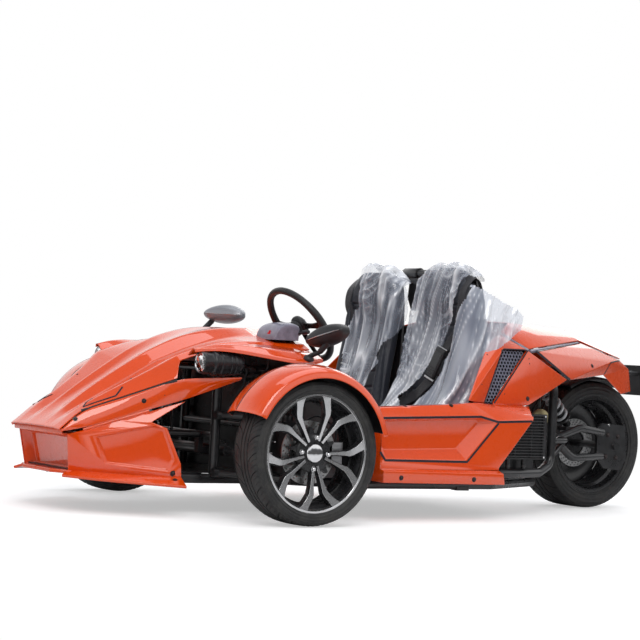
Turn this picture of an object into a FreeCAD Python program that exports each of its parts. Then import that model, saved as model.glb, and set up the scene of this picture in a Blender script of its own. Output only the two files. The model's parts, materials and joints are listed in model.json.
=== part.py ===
import FreeCAD
import Part
import math
import os

# Open two-seat roadster on three wheels: two steered wheels in front, one driven wheel behind.
# Frame: +X forward, +Y to the driver's left, +Z up, origin on the ground under the middle of the
# bounding box. All sizes are in millimetres.

# ---- driving dimensions ----------------------------------------------------------------------
FRONT_AXLE_X = 800.0
REAR_AXLE_X = -1190.0
TRACK_HALF = 738.0           # centre plane of a front wheel
FRONT_TYRE_R = 269.0
FRONT_TYRE_W = 175.0
REAR_TYRE_R = 290.0
REAR_TYRE_W = 225.0
RIM_SEAT_R = 203.0           # where a tyre sits on its rim, both axles
RIM_FLANGE_R = 219.0
RIM_WALL = 7.0
AXLE_R = 17.0                # stub axles and the rear axle
RUNNING_GAP = 0.08           # radial clearance of a hub on its axle
SEAT_GAP = 0.3               # parts that rest on each other
KINGPIN_Y = TRACK_HALF - 128
KINGPIN_R = 11.0
STEER_ARM = 70.0             # kingpin to tie rod eye
FENDER_GAP = 24.0            # tyre tread to the inside of a front fender
FENDER_W = 240.0
SKIN = 5.0                   # thickness of the glass fibre panels
RAIL_R = 19.0                # frame tubes
SMALL_TUBE_R = 13.0          # suspension and brace tubes
TOWER_Y = 292.0              # posts that carry the front suspension
TOWER_TOP_Z = 560.0
NOSE_TUBE_Y = 190.0          # straight tubes under the hood
NOSE_TUBE_Z = 300.0
RAIL_Z = 135.0               # lower frame rails
BULKHEAD_X = 695.0           # wall in front of the driver's feet
FOOTWELL_Y = 475.0
FLOOR_Z = RAIL_Z + RAIL_R + SEAT_GAP
FLOOR_T = 4.0
SILL_IN_Y = 545.0            # inner and outer faces of the side walls
SILL_OUT_Y = 640.0
SILL_FRONT_X = 395.0
SEAT_Y = 262.0
SEAT_W = 400.0               # widest part of a seat
SEAT_RAIL_H = 40.0
SCUTTLE_X0, SCUTTLE_X1 = 560.0, 705.0
HOOD_REAR_X = 705.3
ROLL_BAR_X = -300.0
ROLL_BAR_TOP = 1006.0
REAR_WALL_X = -325.0
STEER_X = 540.0              # centre of the steering wheel, in front of the left seat
STEER_Z = 745.0
STEER_TILT = 38.0            # steering column above the horizontal, degrees
STEER_RIM_R = 165.0
STEER_GRIP_R = 15.0


def V(x, y, z):
    return FreeCAD.Vector(x, y, z)


Y_AXIS = V(0, 1, 0)


# ---- shape helpers ---------------------------------------------------------------------------
def block(x0, x1, y0, y1, z0, z1):
    return Part.makeBox(x1 - x0, y1 - y0, z1 - z0, V(x0, y0, z0))


def rod(start, end, radius):
    return Part.makeCylinder(radius, (end - start).Length, start, end - start)


def polygon_prism(points, depth):
    """A closed polygon of points in one plane, pushed along the vector depth."""
    return Part.Face(Part.makePolygon(points + points[:1])).extrude(depth)


def side_prism(points_xz, y0, y1):
    return polygon_prism([V(x, y0, z) for x, z in points_xz], V(0, y1 - y0, 0))


def front_prism(points_yz, x0, x1):
    return polygon_prism([V(x0, y, z) for y, z in points_yz], V(x1 - x0, 0, 0))


def tube(points, radius, bend=None):
    """A round bar along straight runs joined by tangent arcs."""
    bend = bend or 2.2 * radius
    edges, start = [], points[0]
    for before, corner, after in zip(points, points[1:], points[2:]):
        into, out = (corner - before).normalize(), (after - corner).normalize()
        turn = into.getAngle(out)
        cut = min(bend * math.tan(turn / 2), 0.45 * (corner - before).Length,
                  0.45 * (after - corner).Length)
        radius_here = cut / math.tan(turn / 2)
        a, b = corner - into * cut, corner + out * cut
        inward = (out - into).normalize()
        middle = corner + inward * (radius_here / math.cos(turn / 2) - radius_here)
        edges.append(Part.LineSegment(start, a).toShape())
        edges.append(Part.Arc(a, middle, b).toShape())
        start = b
    edges.append(Part.LineSegment(start, points[-1]).toShape())
    path = Part.Wire(edges)
    circle = Part.Wire(Part.Circle(points[0], points[1] - points[0], radius).toShape())
    return path.makePipeShell([circle], True, True)


def fuse(shapes):
    whole = shapes[0]
    for other in shapes[1:]:
        whole = whole.fuse(other)
    return whole.removeSplitter()


def revolve_y(profile_ry, centre):
    """A closed profile of (radius, y) points turned about the Y axis through centre."""
    points = [centre + V(0, y, r) for r, y in profile_ry]
    return Part.Face(Part.makePolygon(points + points[:1])).revolve(centre, Y_AXIS, 360)


def mirrored(shape):
    return shape.mirror(V(0, 0, 0), Y_AXIS)


def plate(points, faces, thickness):
    """A panel of flat triangles: its outer face thickened towards its inner side.

    points is a list of vectors. Each face lists point numbers, anticlockwise from outside.
    """
    triangles = [(f[0], f[i], f[i + 1]) for f in faces for i in range(1, len(f) - 1)]
    normals = [V(0, 0, 0) for _ in points]
    used_by = {}
    for a, b, c in triangles:
        normal = (points[b] - points[a]).cross(points[c] - points[a]).normalize()
        for here, after, before in ((a, b, c), (b, c, a), (c, a, b)):
            corner = (points[after] - points[here]).getAngle(points[before] - points[here])
            normals[here] = normals[here] + normal * corner
            used_by.setdefault((here, after), []).append((a, b, c))
    inner = [p - n.normalize() * thickness for p, n in zip(points, normals)]

    def triangle(p, q, r):
        return Part.Face(Part.makePolygon([p, q, r, p]))

    shell = []
    for a, b, c in triangles:
        shell.append(triangle(points[a], points[b], points[c]))
        shell.append(triangle(inner[a], inner[c], inner[b]))
    for a, b in used_by:
        if (b, a) not in used_by:
            shell.append(triangle(points[a], inner[a], inner[b]))
            shell.append(triangle(points[a], inner[b], points[b]))
    solid = Part.Solid(Part.Shell(shell))
    if solid.Volume < 0:
        solid.reverse()
    return solid


def skin(rows, thickness):
    """A panel over rows of points: rows run rearwards, points run towards the left or down."""
    across = len(rows[0])
    points = [p for row in rows for p in row]
    faces = []
    for i in range(len(rows) - 1):
        for j in range(across - 1):
            k = i * across + j
            faces.append((k, k + 1, k + across + 1, k + across))
    return plate(points, faces, thickness)


def height(triangles, x, y):
    """Height of a surface of triangles above or below the point x, y."""
    for p, q, r in triangles:
        area = (q.x - p.x) * (r.y - p.y) - (r.x - p.x) * (q.y - p.y)
        if abs(area) > 1e-6:
            u = ((x - p.x) * (r.y - p.y) - (r.x - p.x) * (y - p.y)) / area
            v = ((q.x - p.x) * (y - p.y) - (x - p.x) * (q.y - p.y)) / area
            if u >= 0 and v >= 0 and u + v <= 1:
                return p.z + u * (q.z - p.z) + v * (r.z - p.z)
    raise ValueError("no surface at %g, %g" % (x, y))


def surface_z(rows, x, y):
    triangles = []
    for front, back in zip(rows, rows[1:]):
        for a, b, c, d in zip(front, front[1:], back[1:], back):
            triangles += [(d, c, b), (d, b, a)]
    return height(triangles, x, y)


def both_sides(rows):
    """Rows from the centre line outwards, completed to the other side of the vehicle."""
    return [[V(p.x, -p.y, p.z) for p in reversed(row[1:])] + row for row in rows]


# ---- wheels ----------------------------------------------------------------------------------
RIM_LIP = 5.0                # rim edge beyond the tyre's bead
BEAD_IN = 16.0               # bead inside the tyre's widest point
HUB_R = 62.0
HUB_LENGTH = 55.0
SPOKES = 10


def tyre(centre, radius, width):
    shoulder, bead = width / 2, width / 2 - BEAD_IN
    seat = RIM_SEAT_R + SEAT_GAP
    belly = (radius + seat) / 2 + 8
    half = [(seat, bead), (RIM_FLANGE_R + SEAT_GAP, bead), (RIM_FLANGE_R + 1, bead + 7),
            (belly, shoulder), (radius - 14, shoulder - 8), (radius - 3, shoulder - 26)]
    other = [(r, -y) for r, y in reversed(half)]
    return revolve_y(half + [(radius, 0.0)] + other, centre)


def face_of(width, inset):
    """Distance of the wheel disc's outer face from the centre plane."""
    return width / 2 - BEAD_IN + RIM_LIP - inset


def rim(centre, width, outward, inset):
    """Barrel with a spoked disc near one edge. outward is +1 or -1 along Y."""
    edge = width / 2 - BEAD_IN + SEAT_GAP
    lip = edge + RIM_LIP
    well = RIM_SEAT_R - RIM_WALL
    half = [(RIM_SEAT_R, edge), (RIM_FLANGE_R, edge), (RIM_FLANGE_R, lip), (well, lip)]
    other = [(r, -y) for r, y in reversed(half)]
    barrel = revolve_y(other + half, centre)
    face = outward * face_of(width, inset)
    bore = AXLE_R + RUNNING_GAP
    hub = revolve_y([(bore, face), (HUB_R, face), (HUB_R, face - outward * HUB_LENGTH),
                     (bore, face - outward * HUB_LENGTH)], centre)
    parts = [barrel, hub]
    for index in range(SPOKES):
        bar = Part.makeBox(24, 24, well + 3 - HUB_R + 4, V(-12, -12, HUB_R - 4))
        bar.Placement = FreeCAD.Placement(centre + V(0, face - outward * 12, 0),
                                          FreeCAD.Rotation(Y_AXIS, index * 360.0 / SPOKES))
        parts.append(bar)
    return fuse(parts)


def ring(centre, inner_r, outer_r, y0, y1):
    return revolve_y([(inner_r, y0), (outer_r, y0), (outer_r, y1), (inner_r, y1)], centre)


FRONT_CENTRE = V(FRONT_AXLE_X, TRACK_HALF, FRONT_TYRE_R)
REAR_CENTRE = V(REAR_AXLE_X, 0, REAR_TYRE_R)
FRONT_INSET, REAR_INSET = 14.0, 30.0
FRONT_FACE = face_of(FRONT_TYRE_W, FRONT_INSET)
REAR_FACE = face_of(REAR_TYRE_W, REAR_INSET)
FRONT_DISC = (FRONT_FACE - HUB_LENGTH + 4, FRONT_FACE - HUB_LENGTH + 10)    # along Y
FRONT_DISC_R = 118.0
HUB_IN_Y = TRACK_HALF + FRONT_FACE - HUB_LENGTH

# ---- knuckles, steered about the kingpin ---------------------------------------------------------
UPRIGHT_HALF = 88.0          # upright above and below the axle
UPRIGHT_Y = (KINGPIN_Y - 22, KINGPIN_Y + 22)
UPRIGHT_Z = (FRONT_TYRE_R - UPRIGHT_HALF, FRONT_TYRE_R + UPRIGHT_HALF)
BOSS_GAP = 5.0               # wishbone eye above or below the upright
BOSS_R, BOSS_H = 19.0, 34.0
RACK_X = FRONT_AXLE_X + STEER_ARM
RACK_Z = FRONT_TYRE_R - 30


def knuckle():
    """Upright with stub axle, kingpins, steering arm and brake caliper."""
    x, z = FRONT_AXLE_X, FRONT_TYRE_R
    upright = block(x - 24, x + 24, UPRIGHT_Y[0], UPRIGHT_Y[1], UPRIGHT_Z[0], UPRIGHT_Z[1])
    flange = rod(V(x, UPRIGHT_Y[1] - 1, z), V(x, HUB_IN_Y - 6, z), 34)
    stub = rod(V(x, UPRIGHT_Y[1], z), V(x, TRACK_HALF + FRONT_FACE + 2, z), AXLE_R)
    pin_reach = BOSS_GAP + BOSS_H - 4
    pin = rod(V(x, KINGPIN_Y, UPRIGHT_Z[0] - pin_reach), V(x, KINGPIN_Y, UPRIGHT_Z[1] + pin_reach),
              KINGPIN_R)
    arm = block(x + 20, RACK_X + 14, KINGPIN_Y - 14, KINGPIN_Y + 14, RACK_Z - 6, RACK_Z + 6)
    disc_y = TRACK_HALF + sum(FRONT_DISC) / 2
    near, far = x - FRONT_DISC_R - 18, x - FRONT_DISC_R + 26
    caliper = block(near, far, disc_y - 20, disc_y + 20, z - 42, z + 42)
    slot = block(near + 6, far + 1, disc_y - 9, disc_y + 9, z - 60, z + 60)
    bracket = block(near + 4, x - 20, UPRIGHT_Y[1] - 14, UPRIGHT_Y[1], z - 30, z + 30)
    carrier = block(near + 4, near + 34, UPRIGHT_Y[1] - 14, disc_y - 12, z - 30, z + 30)
    return fuse([upright, flange, stub, pin, arm, bracket, carrier, caliper.cut(slot)])


# ---- front fenders, which turn with the knuckles -----------------------------------------------
FENDER_IN_Y = KINGPIN_Y + 2
FENDER_SECTION = [            # columns: place across the width (0 to 1), height over the tread
    (0.0, FENDER_GAP - 16), (0.02, FENDER_GAP + 14), (0.28, FENDER_GAP + 32),
    (0.62, FENDER_GAP + 34), (0.90, FENDER_GAP + 20), (0.985, FENDER_GAP + 2),
    (1.0, FENDER_GAP - 14)]
FENDER_FRONT_DEG, FENDER_REAR_DEG, FENDER_STEPS = 26.0, 166.0, 14
FENDER_T = 4.0
STAY_R = 5.0
STAY_Y = KINGPIN_Y + 27
STAY_DX = 45.0


def fender_rows():
    rows = []
    for step in range(FENDER_STEPS + 1):
        share = step / FENDER_STEPS
        angle = math.radians(FENDER_FRONT_DEG + (FENDER_REAR_DEG - FENDER_FRONT_DEG) * share)
        row = []
        for across, over in FENDER_SECTION:
            r = FRONT_TYRE_R + over
            row.append(V(FRONT_AXLE_X + r * math.cos(angle), FENDER_IN_Y + across * FENDER_W,
                         FRONT_TYRE_R + r * math.sin(angle)))
        rows.append(row)
    return rows


def fender():
    """Guard over the tyre, two stays and the foot that bolts to the upright."""
    rows = fender_rows()
    foot_z0, foot_z1 = UPRIGHT_Z[1] - 42, UPRIGHT_Z[1] - 6
    foot = block(FRONT_AXLE_X - STAY_DX - 5, FRONT_AXLE_X + STAY_DX + 5,
                 UPRIGHT_Y[1] + SEAT_GAP, UPRIGHT_Y[1] + 8, foot_z0, foot_z1)
    shapes = [skin(rows, FENDER_T), foot]
    for dx in (-STAY_DX, STAY_DX):
        top = surface_z(rows, FRONT_AXLE_X + dx, STAY_Y) - 1.6
        shapes.append(rod(V(FRONT_AXLE_X + dx, STAY_Y, foot_z0 + 6),
                          V(FRONT_AXLE_X + dx, STAY_Y, top), STAY_R))
    return fuse(shapes)


# ---- front suspension, left side ---------------------------------------------------------------
UPPER_ARM_Z = UPRIGHT_Z[1] + BOSS_GAP + BOSS_H / 2
LOWER_ARM_Z = UPRIGHT_Z[0] - BOSS_GAP - BOSS_H / 2
POST_XS = (FRONT_AXLE_X - 75, FRONT_AXLE_X + 125)
ARM_PIVOT_Y = TOWER_Y + RAIL_R + 17 + SEAT_GAP
SHOCK_FOOT_Y = 480.0


def wishbones():
    """Upper and lower A-arms of one side, with the eye that carries the damper."""
    arms = []
    for z in (UPPER_ARM_Z, LOWER_ARM_Z):
        tip = V(FRONT_AXLE_X, KINGPIN_Y - 10, z)
        boss = rod(V(FRONT_AXLE_X, KINGPIN_Y, z - BOSS_H / 2), V(FRONT_AXLE_X, KINGPIN_Y, z + BOSS_H / 2),
                   BOSS_R)
        shapes = [rod(V(x, ARM_PIVOT_Y, z), tip, SMALL_TUBE_R) for x in POST_XS]
        shapes += [rod(V(x - 24, ARM_PIVOT_Y, z), V(x + 24, ARM_PIVOT_Y, z), 17) for x in POST_XS]
        if z == LOWER_ARM_Z:
            shapes.append(block(FRONT_AXLE_X - 58, FRONT_AXLE_X + 60, SHOCK_FOOT_Y - 25,
                                SHOCK_FOOT_Y + 25, z - 6, z + 6))
        bore = rod(V(FRONT_AXLE_X, KINGPIN_Y, z - BOSS_H), V(FRONT_AXLE_X, KINGPIN_Y, z + BOSS_H),
                   KINGPIN_R + RUNNING_GAP)
        arms.append(fuse(shapes + [boss]).cut(bore))
    return Part.makeCompound(arms)


def coil_over(low, high, coil_r, body_r, eye_axis):
    """Damper with its coil spring drawn as ribs on one body, and an eye at each end."""
    axis = high - low
    ribs, spring_from, spring_to = 7, 0.32, 0.90
    step = (spring_to - spring_from) / ribs
    parts = [rod(low, high, body_r * 0.45)]
    parts.append(rod(low + axis * 0.18, low + axis * spring_to, body_r))
    for index in range(ribs):
        foot = low + axis * (spring_from + index * step)
        parts.append(rod(foot, foot + axis * (step * 0.55), coil_r))
    for end in (low, high):
        parts.append(rod(end - eye_axis * 14, end + eye_axis * 14, 14))
    return fuse(parts)


def front_shock():
    foot = V(FRONT_AXLE_X, SHOCK_FOOT_Y, LOWER_ARM_Z + 6 + SEAT_GAP + 14)
    head = V(FRONT_AXLE_X, TOWER_Y + RAIL_R + 14 + SEAT_GAP, TOWER_TOP_Z - 6)
    return coil_over(foot, head, 32, 21, V(1, 0, 0))


# ---- frame -----------------------------------------------------------------------------------
FRONT_RAIL_Y = 292.0
SIDE_RAIL_Y = 500.0
REAR_WALL_TOP = 780.0


def front_frame():
    """Suspension tower, the tubes to the nose and the steering rack's housing."""
    shapes = []
    floor_z = RAIL_Z + RAIL_R + SEAT_GAP
    nose_x = 1400.0
    cross_x = POST_XS[1]
    for side in (-1, 1):
        y = side * TOWER_Y
        for x in POST_XS:
            shapes.append(rod(V(x, y, floor_z), V(x, y, TOWER_TOP_Z), RAIL_R))
        shapes.append(rod(V(POST_XS[0] - 25, y, TOWER_TOP_Z), V(POST_XS[1] + 45, y, TOWER_TOP_Z), RAIL_R))
        shapes.append(rod(V(cross_x, side * NOSE_TUBE_Y, NOSE_TUBE_Z),
                          V(nose_x, side * NOSE_TUBE_Y, NOSE_TUBE_Z), SMALL_TUBE_R))
    shapes.append(rod(V(nose_x - 10, -NOSE_TUBE_Y, NOSE_TUBE_Z), V(nose_x - 10, NOSE_TUBE_Y, NOSE_TUBE_Z),
                      SMALL_TUBE_R))
    for x, z in ((cross_x, NOSE_TUBE_Z), (POST_XS[0], 340.0), (cross_x, TOWER_TOP_Z)):
        shapes.append(rod(V(x, -TOWER_Y, z), V(x, TOWER_Y, z), SMALL_TUBE_R))
    housing = rod(V(RACK_X, -200, RACK_Z), V(RACK_X, 200, RACK_Z), 22)
    for side in (-1, 1):
        housing = housing.fuse(block(RACK_X, cross_x, side * 170 - 15, side * 170 + 15,
                                     RACK_Z - 12, RACK_Z + 12))
        housing = housing.fuse(block(cross_x - 12, cross_x + 8, side * 170 - 15, side * 170 + 15,
                                     RACK_Z - 12, NOSE_TUBE_Z))
    bore = rod(V(RACK_X, -210, RACK_Z), V(RACK_X, 210, RACK_Z), RACK_R + RUNNING_GAP)
    return fuse(shapes + [housing]).cut(bore)


RACK_R = 9.0
RACK_END_Y = KINGPIN_Y - 14 - 12


def steering_rack():
    bar = rod(V(RACK_X, -RACK_END_Y, RACK_Z), V(RACK_X, RACK_END_Y, RACK_Z), RACK_R)
    boots = [rod(V(RACK_X, side * 236, RACK_Z), V(RACK_X, side * 300, RACK_Z), 19) for side in (-1, 1)]
    return fuse([bar] + boots)


def floor_rails():
    """Left and right lower tubes with their crossbars."""
    shapes = []
    front_x, rear_x = 1380.0, -640.0
    for side in (-1, 1):
        shapes.append(tube([V(front_x, side * 215, RAIL_Z), V(1000, side * FRONT_RAIL_Y, RAIL_Z),
                            V(BULKHEAD_X, side * FRONT_RAIL_Y, RAIL_Z),
                            V(FOOTWELL_X, side * SIDE_RAIL_Y, RAIL_Z),
                            V(-280, side * SIDE_RAIL_Y, RAIL_Z),
                            V(rear_x, side * 330, RAIL_Z)], RAIL_R, 60))
    for x, reach in ((1370, 216), (POST_XS[1], FRONT_RAIL_Y), (FOOTWELL_X - 100, SIDE_RAIL_Y),
                     (-250, SIDE_RAIL_Y), (rear_x + 20, 338)):
        shapes.append(rod(V(x, -reach, RAIL_Z), V(x, reach, RAIL_Z), SMALL_TUBE_R))
    pad_z = RAIL_Z - RAIL_R - 4
    for side in (-1, 1):
        shapes.append(block(-150, -90, side * SIDE_RAIL_Y - 20, side * SIDE_RAIL_Y + 20,
                            pad_z, pad_z + 16))
    return fuse(shapes)


FOOTWELL_X = 420.0           # where the footwell widens to the side walls
FLOOR_T = 4.0
FLOOR_OUTLINE = [             # columns: x, y of the left edge
    (1478, 180), (1360, 225), (1000, 285), (BULKHEAD_X + 1, 290), (BULKHEAD_X + 1, 470),
    (FOOTWELL_X, FOOTWELL_Y - 5), (SILL_FRONT_X - 2, SILL_IN_Y - 5), (-250, SILL_IN_Y - 5),
    (-545, 405)]


def floor_pan():
    """Floor sheet with the four runners the seats bolt to."""
    left = [V(x, y, FLOOR_Z) for x, y in FLOOR_OUTLINE]
    right = [V(x, -y, FLOOR_Z) for x, y in reversed(FLOOR_OUTLINE)]
    sheet = polygon_prism(left + right, V(0, 0, FLOOR_T))
    for x in POST_XS:
        for side in (-1, 1):
            centre = V(x, side * TOWER_Y, FLOOR_Z - 1)
            sheet = sheet.cut(rod(centre, centre + V(0, 0, FLOOR_T + 2), RAIL_R + SEAT_GAP))
    runners = [block(-80, 320, side * SEAT_Y + dy - 15, side * SEAT_Y + dy + 15,
                     FLOOR_Z + FLOOR_T - 1, FLOOR_Z + FLOOR_T + SEAT_RAIL_H)
               for side in (-1, 1) for dy in (-140, 140)]
    return fuse([sheet] + runners)


def roll_bar():
    """Hoop behind the seats, standing on the floor."""
    foot = FLOOR_Z + FLOOR_T + SEAT_GAP
    x, top = ROLL_BAR_X, ROLL_BAR_TOP
    half = [V(x, 400, foot), V(x, 400, 650), V(x, 335, top - 110), V(x, 235, top)]
    hoop = tube(half + [V(p.x, -p.y, p.z) for p in reversed(half)], RAIL_R, 90)
    bar = rod(V(x, 400, 560), V(x, -400, 560), SMALL_TUBE_R)
    pads = [rod(V(x, side * 130 - 50, top), V(x, side * 130 + 50, top), 27) for side in (-1, 1)]
    plate_between = block(x - 5, x + 5, -62, 62, top - 170, top)
    return fuse([hoop, bar, plate_between] + pads)


PIVOT = V(-845, 0, 315)
PLATE_Y = 240.0               # plates that hold the rear axle
UPPER_Z = 600.0
HOOP_X, HOOP_Y = -695.0, 385.0
LOWER_TUBE_Z = FLOOR_Z + FLOOR_T + RAIL_R + 3.0


def rear_frame():
    """Tubes around the engine: upper pair, side hoops, pivot tube and lower braces."""
    shapes = []
    start_x = REAR_WALL_X - 5 - SEAT_GAP
    for side in (-1, 1):
        def p(x, y, z):
            return V(x, side * y, z)
        shapes.append(tube([p(start_x, 400, UPPER_Z), p(start_x - 70, 400, UPPER_Z),
                            p(HOOP_X, 360, UPPER_Z), p(-1080, 215, 622), p(-1260, 150, 622)],
                           SMALL_TUBE_R, 60))
        shapes.append(tube([p(HOOP_X, 352, UPPER_Z), p(HOOP_X, HOOP_Y, 540), p(HOOP_X, HOOP_Y, 215),
                            p(-600, 420, LOWER_TUBE_Z), p(-430, 470, LOWER_TUBE_Z),
                            p(-262, 500, LOWER_TUBE_Z)], RAIL_R, 60))
        shapes.append(tube([p(HOOP_X, HOOP_Y, 315), p(PIVOT.x, PLATE_Y + 70, 315), p(PIVOT.x, PLATE_Y + 30, 315)],
                           SMALL_TUBE_R, 40))
        shapes.append(rod(p(-600, 420, LOWER_TUBE_Z), p(PIVOT.x, PLATE_Y + 50, 305), SMALL_TUBE_R))
    shapes.append(rod(V(HOOP_X - 30, -352, UPPER_Z), V(HOOP_X - 30, 352, UPPER_Z), SMALL_TUBE_R))
    shapes.append(rod(V(-1250, -152, 622), V(-1250, 152, 622), SMALL_TUBE_R))
    shapes.append(rod(V(PIVOT.x, -PLATE_Y - 50, 315), V(PIVOT.x, PLATE_Y + 50, 315), 15))
    return fuse(shapes)


# ---- rear wheel carrier ------------------------------------------------------------------------
def rear_swingarm():
    """Fork with its two axle plates, the pivot sleeve and the rear axle."""
    shapes = []
    for side in (-1, 1):
        y0 = side * PLATE_Y

        def p(x, y, z):
            return V(x, side * y, z)
        shapes.append(tube([p(PIVOT.x, PLATE_Y, 322), p(-980, PLATE_Y + 8, 368), p(-1120, PLATE_Y, 350)],
                           17, 60))
        shapes.append(tube([p(PIVOT.x, PLATE_Y, 308), p(-940, PLATE_Y + 6, 236), p(-1120, PLATE_Y, 245)],
                           17, 60))
        shapes.append(side_prism([(-1085, 372), (-1110, 392), (-1250, 384), (-1262, 230),
                                  (-1225, 184), (-1130, 192), (-1085, 235)], y0 - 7, y0 + 7))
        shapes.append(rod(p(PIVOT.x, PLATE_Y - 20, 315), p(PIVOT.x, PLATE_Y + 22, 315), 26))
        shapes.append(block(-965, -905, min(y0, side * 180), max(y0, side * 180), 355, 371))
    shapes.append(rod(V(-878, -PLATE_Y, 325), V(-878, PLATE_Y, 325), SMALL_TUBE_R))
    shapes.append(rod(V(REAR_AXLE_X, -PLATE_Y - 22, REAR_TYRE_R), V(REAR_AXLE_X, PLATE_Y + 22, REAR_TYRE_R),
                      AXLE_R))
    bore = rod(V(PIVOT.x, -300, PIVOT.z), V(PIVOT.x, 300, PIVOT.z), 15 + RUNNING_GAP)
    return fuse(shapes).cut(bore)


def rear_shock():
    foot = V(-935, PLATE_Y - 35, 371 + SEAT_GAP + 14)
    head = V(HOOP_X - 30, 250, UPPER_Z - SMALL_TUBE_R - SEAT_GAP - 14)
    return coil_over(foot, head, 34, 22, Y_AXIS)


# ---- body panels -------------------------------------------------------------------------------
HOOD_STATIONS = [   # columns: x, then y and z of centre, ridge, channel, shoulder and edge
    (1548, (0, 312), (60, 312), (110, 311), (165, 310), (207, 306)),
    (1500, (0, 345), (62, 348), (110, 344), (165, 350), (206, 345)),
    (1457, (0, 372), (62, 386), (108, 370), (165, 388), (204, 384)),
    (1349, (0, 440), (66, 470), (118, 436), (205, 455), (257, 426)),
    (1237, (0, 512), (75, 545), (135, 503), (265, 525), (317, 476)),
    (1150, (0, 572), (82, 600), (150, 558), (320, 588), (370, 515)),
    (1130, (0, 585), (84, 612), (153, 570), (325, 600), (345, 582)),
    (1020, (0, 652), (92, 668), (175, 623), (318, 640), (342, 615)),
    (900, (0, 695), (100, 705), (190, 663), (318, 664), (345, 650)),
    (780, (0, 712), (110, 722), (200, 688), (320, 670), (350, 655)),
    (HOOD_REAR_X, (0, 716), (115, 722), (205, 690), (325, 668), (360, 652))]
HOOD_STUDS = [(1350, NOSE_TUBE_Y), (1060, NOSE_TUBE_Y)]
STUD_R = 5.0


def stud(rows, x, y, foot_z):
    return rod(V(x, y, foot_z), V(x, y, surface_z(rows, x, y) - SKIN / 2 - 1), STUD_R)


def hood():
    rows = both_sides([[V(x, y, z) for y, z in section] for x, *section in HOOD_STATIONS])
    shapes = [skin(rows, SKIN)]
    for x, y in HOOD_STUDS:
        for side in (-1, 1):
            shapes.append(stud(rows, x, side * y, NOSE_TUBE_Z + SMALL_TUBE_R + SEAT_GAP))
    return fuse(shapes)


STRIP_STATIONS = [   # columns: x, y and z of the top edge, y and z of the bottom edge
    (1540, 213, 303, 211, 297), (1457, 211, 379, 232, 314), (1349, 264, 420, 281, 353),
    (1237, 324, 470, 331, 394), (1150, 377, 509, 370, 425), (1105, 389, 517, 386, 441),
    (905, 434, 529, 427, 518)]


def hood_strip():
    """Panel along the lower edge of the hood, with the arm that holds it to the frame."""
    rows = [[V(x, y0, z0), V(x, y1, z1)] for x, y0, z0, y1, z1 in STRIP_STATIONS]
    x, *_ = STRIP_STATIONS[3]
    y = (STRIP_STATIONS[3][1] + STRIP_STATIONS[3][3]) / 2 - 3
    z = (STRIP_STATIONS[3][2] + STRIP_STATIONS[3][4]) / 2
    arm = tube([V(x, y, z), V(x, NOSE_TUBE_Y, z),
                V(x, NOSE_TUBE_Y, NOSE_TUBE_Z + SMALL_TUBE_R + SEAT_GAP)], STUD_R, 20)
    return fuse([skin(rows, SKIN), arm])


NOSE_WALL = [        # columns: x, y, z, in order round the wall's outer face
    (1512, 208, 288), (1490, 188, 141), (1140, 424, 141), (1143, 420, 197), (1185, 378, 327),
    (1237, 350, 347), (1112, 378, 430), (1237, 327, 385), (1349, 276, 346), (1457, 228, 306)]
SPLITTER = [(1532, 0), (1532, 120), (1506, 160), (1500, 196), (1470, 196), (1470, 0)]
SPLITTER_Z = FLOOR_Z - SEAT_GAP - 14.0
WING = [             # columns: inner edge x, y, z and outer edge x, y, z of the side wings
    (1496, 180, 153, 1526, 210, 138), (1400, 250, 152, 1420, 305, 131),
    (1300, 322, 150, 1300, 395, 126), (1138, 420, 148, 1150, 485, 120)]
MOUTH = ((1512, 208, 288), (1490, 188, 145))      # top and bottom of the mouth's back


def nose():
    """Bumper: side walls, the back of the mouth and the splitter under them."""
    points = [V(*p) for p in NOSE_WALL]
    wall = plate(points, [(0, 1, 2, 3, 4, 5, 8, 9), (5, 6, 7, 8)], SKIN)
    lip = polygon_prism([V(x, y, SPLITTER_Z) for x, y in SPLITTER], V(0, 0, 14))
    top, bottom = [V(*p) for p in MOUTH]
    back = plate([V(top.x, -top.y, top.z), V(bottom.x, -bottom.y, bottom.z), bottom, top],
                 [(0, 1, 2, 3)], SKIN)
    wing = skin([[V(*row[:3]), V(*row[3:])] for row in WING], 10)
    return fuse([wall, mirrored(wall), lip, mirrored(lip), wing, mirrored(wing), back])


BROW_STATIONS = [   # columns: x, then y and z of the inner edge, the crest and the outer edge
    (1098, (352, 606), (385, 630), (402, 628)), (1020, (350, 622), (405, 652), (440, 640)),
    (900, (353, 656), (425, 656), (472, 628)), (754, (362, 660), (450, 640), (505, 607)),
    (650, (374, 652), (465, 632), (520, 598)), (SCUTTLE_X0, (382, 640), (430, 629), (468, 614))]


def brow_rows():
    return [[V(x, y, z) for y, z in section] for x, *section in BROW_STATIONS]


def brow():
    """Arched panel over the lamp, with its arm to the tower."""
    rows = brow_rows()
    x, y = POST_XS[0] + 35, 385.0
    top = surface_z(rows, x, y) - SKIN / 2 - 1
    arm = tube([V(x, y, top), V(x, y, TOWER_TOP_Z), V(x, TOWER_Y + RAIL_R + SEAT_GAP, TOWER_TOP_Z)],
               STUD_R, 20)
    return fuse([skin(rows, SKIN), arm])


SCUTTLE_SECTION = [(0, 716), (115, 722), (205, 690), (325, 668), (366, 650)]   # y, z


def under_scuttle(drop):
    left = [(y, z - drop) for y, z in SCUTTLE_SECTION]
    return [(-y, z) for y, z in reversed(left[1:])] + left


def column_bore():
    return rod(steer_point(20), steer_point(400), COLUMN_R + SEAT_GAP)


def steer_point(distance):
    """Point on the column's axis, ahead of the steering wheel's centre."""
    tilt = math.radians(STEER_TILT)
    return V(STEER_X + distance * math.cos(tilt), STEER_Y, STEER_Z - distance * math.sin(tilt))


STEER_Y = SEAT_Y
COLUMN_R = 16.0
COLUMN_FROM, COLUMN_TO = 35.0, 185.0


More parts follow.
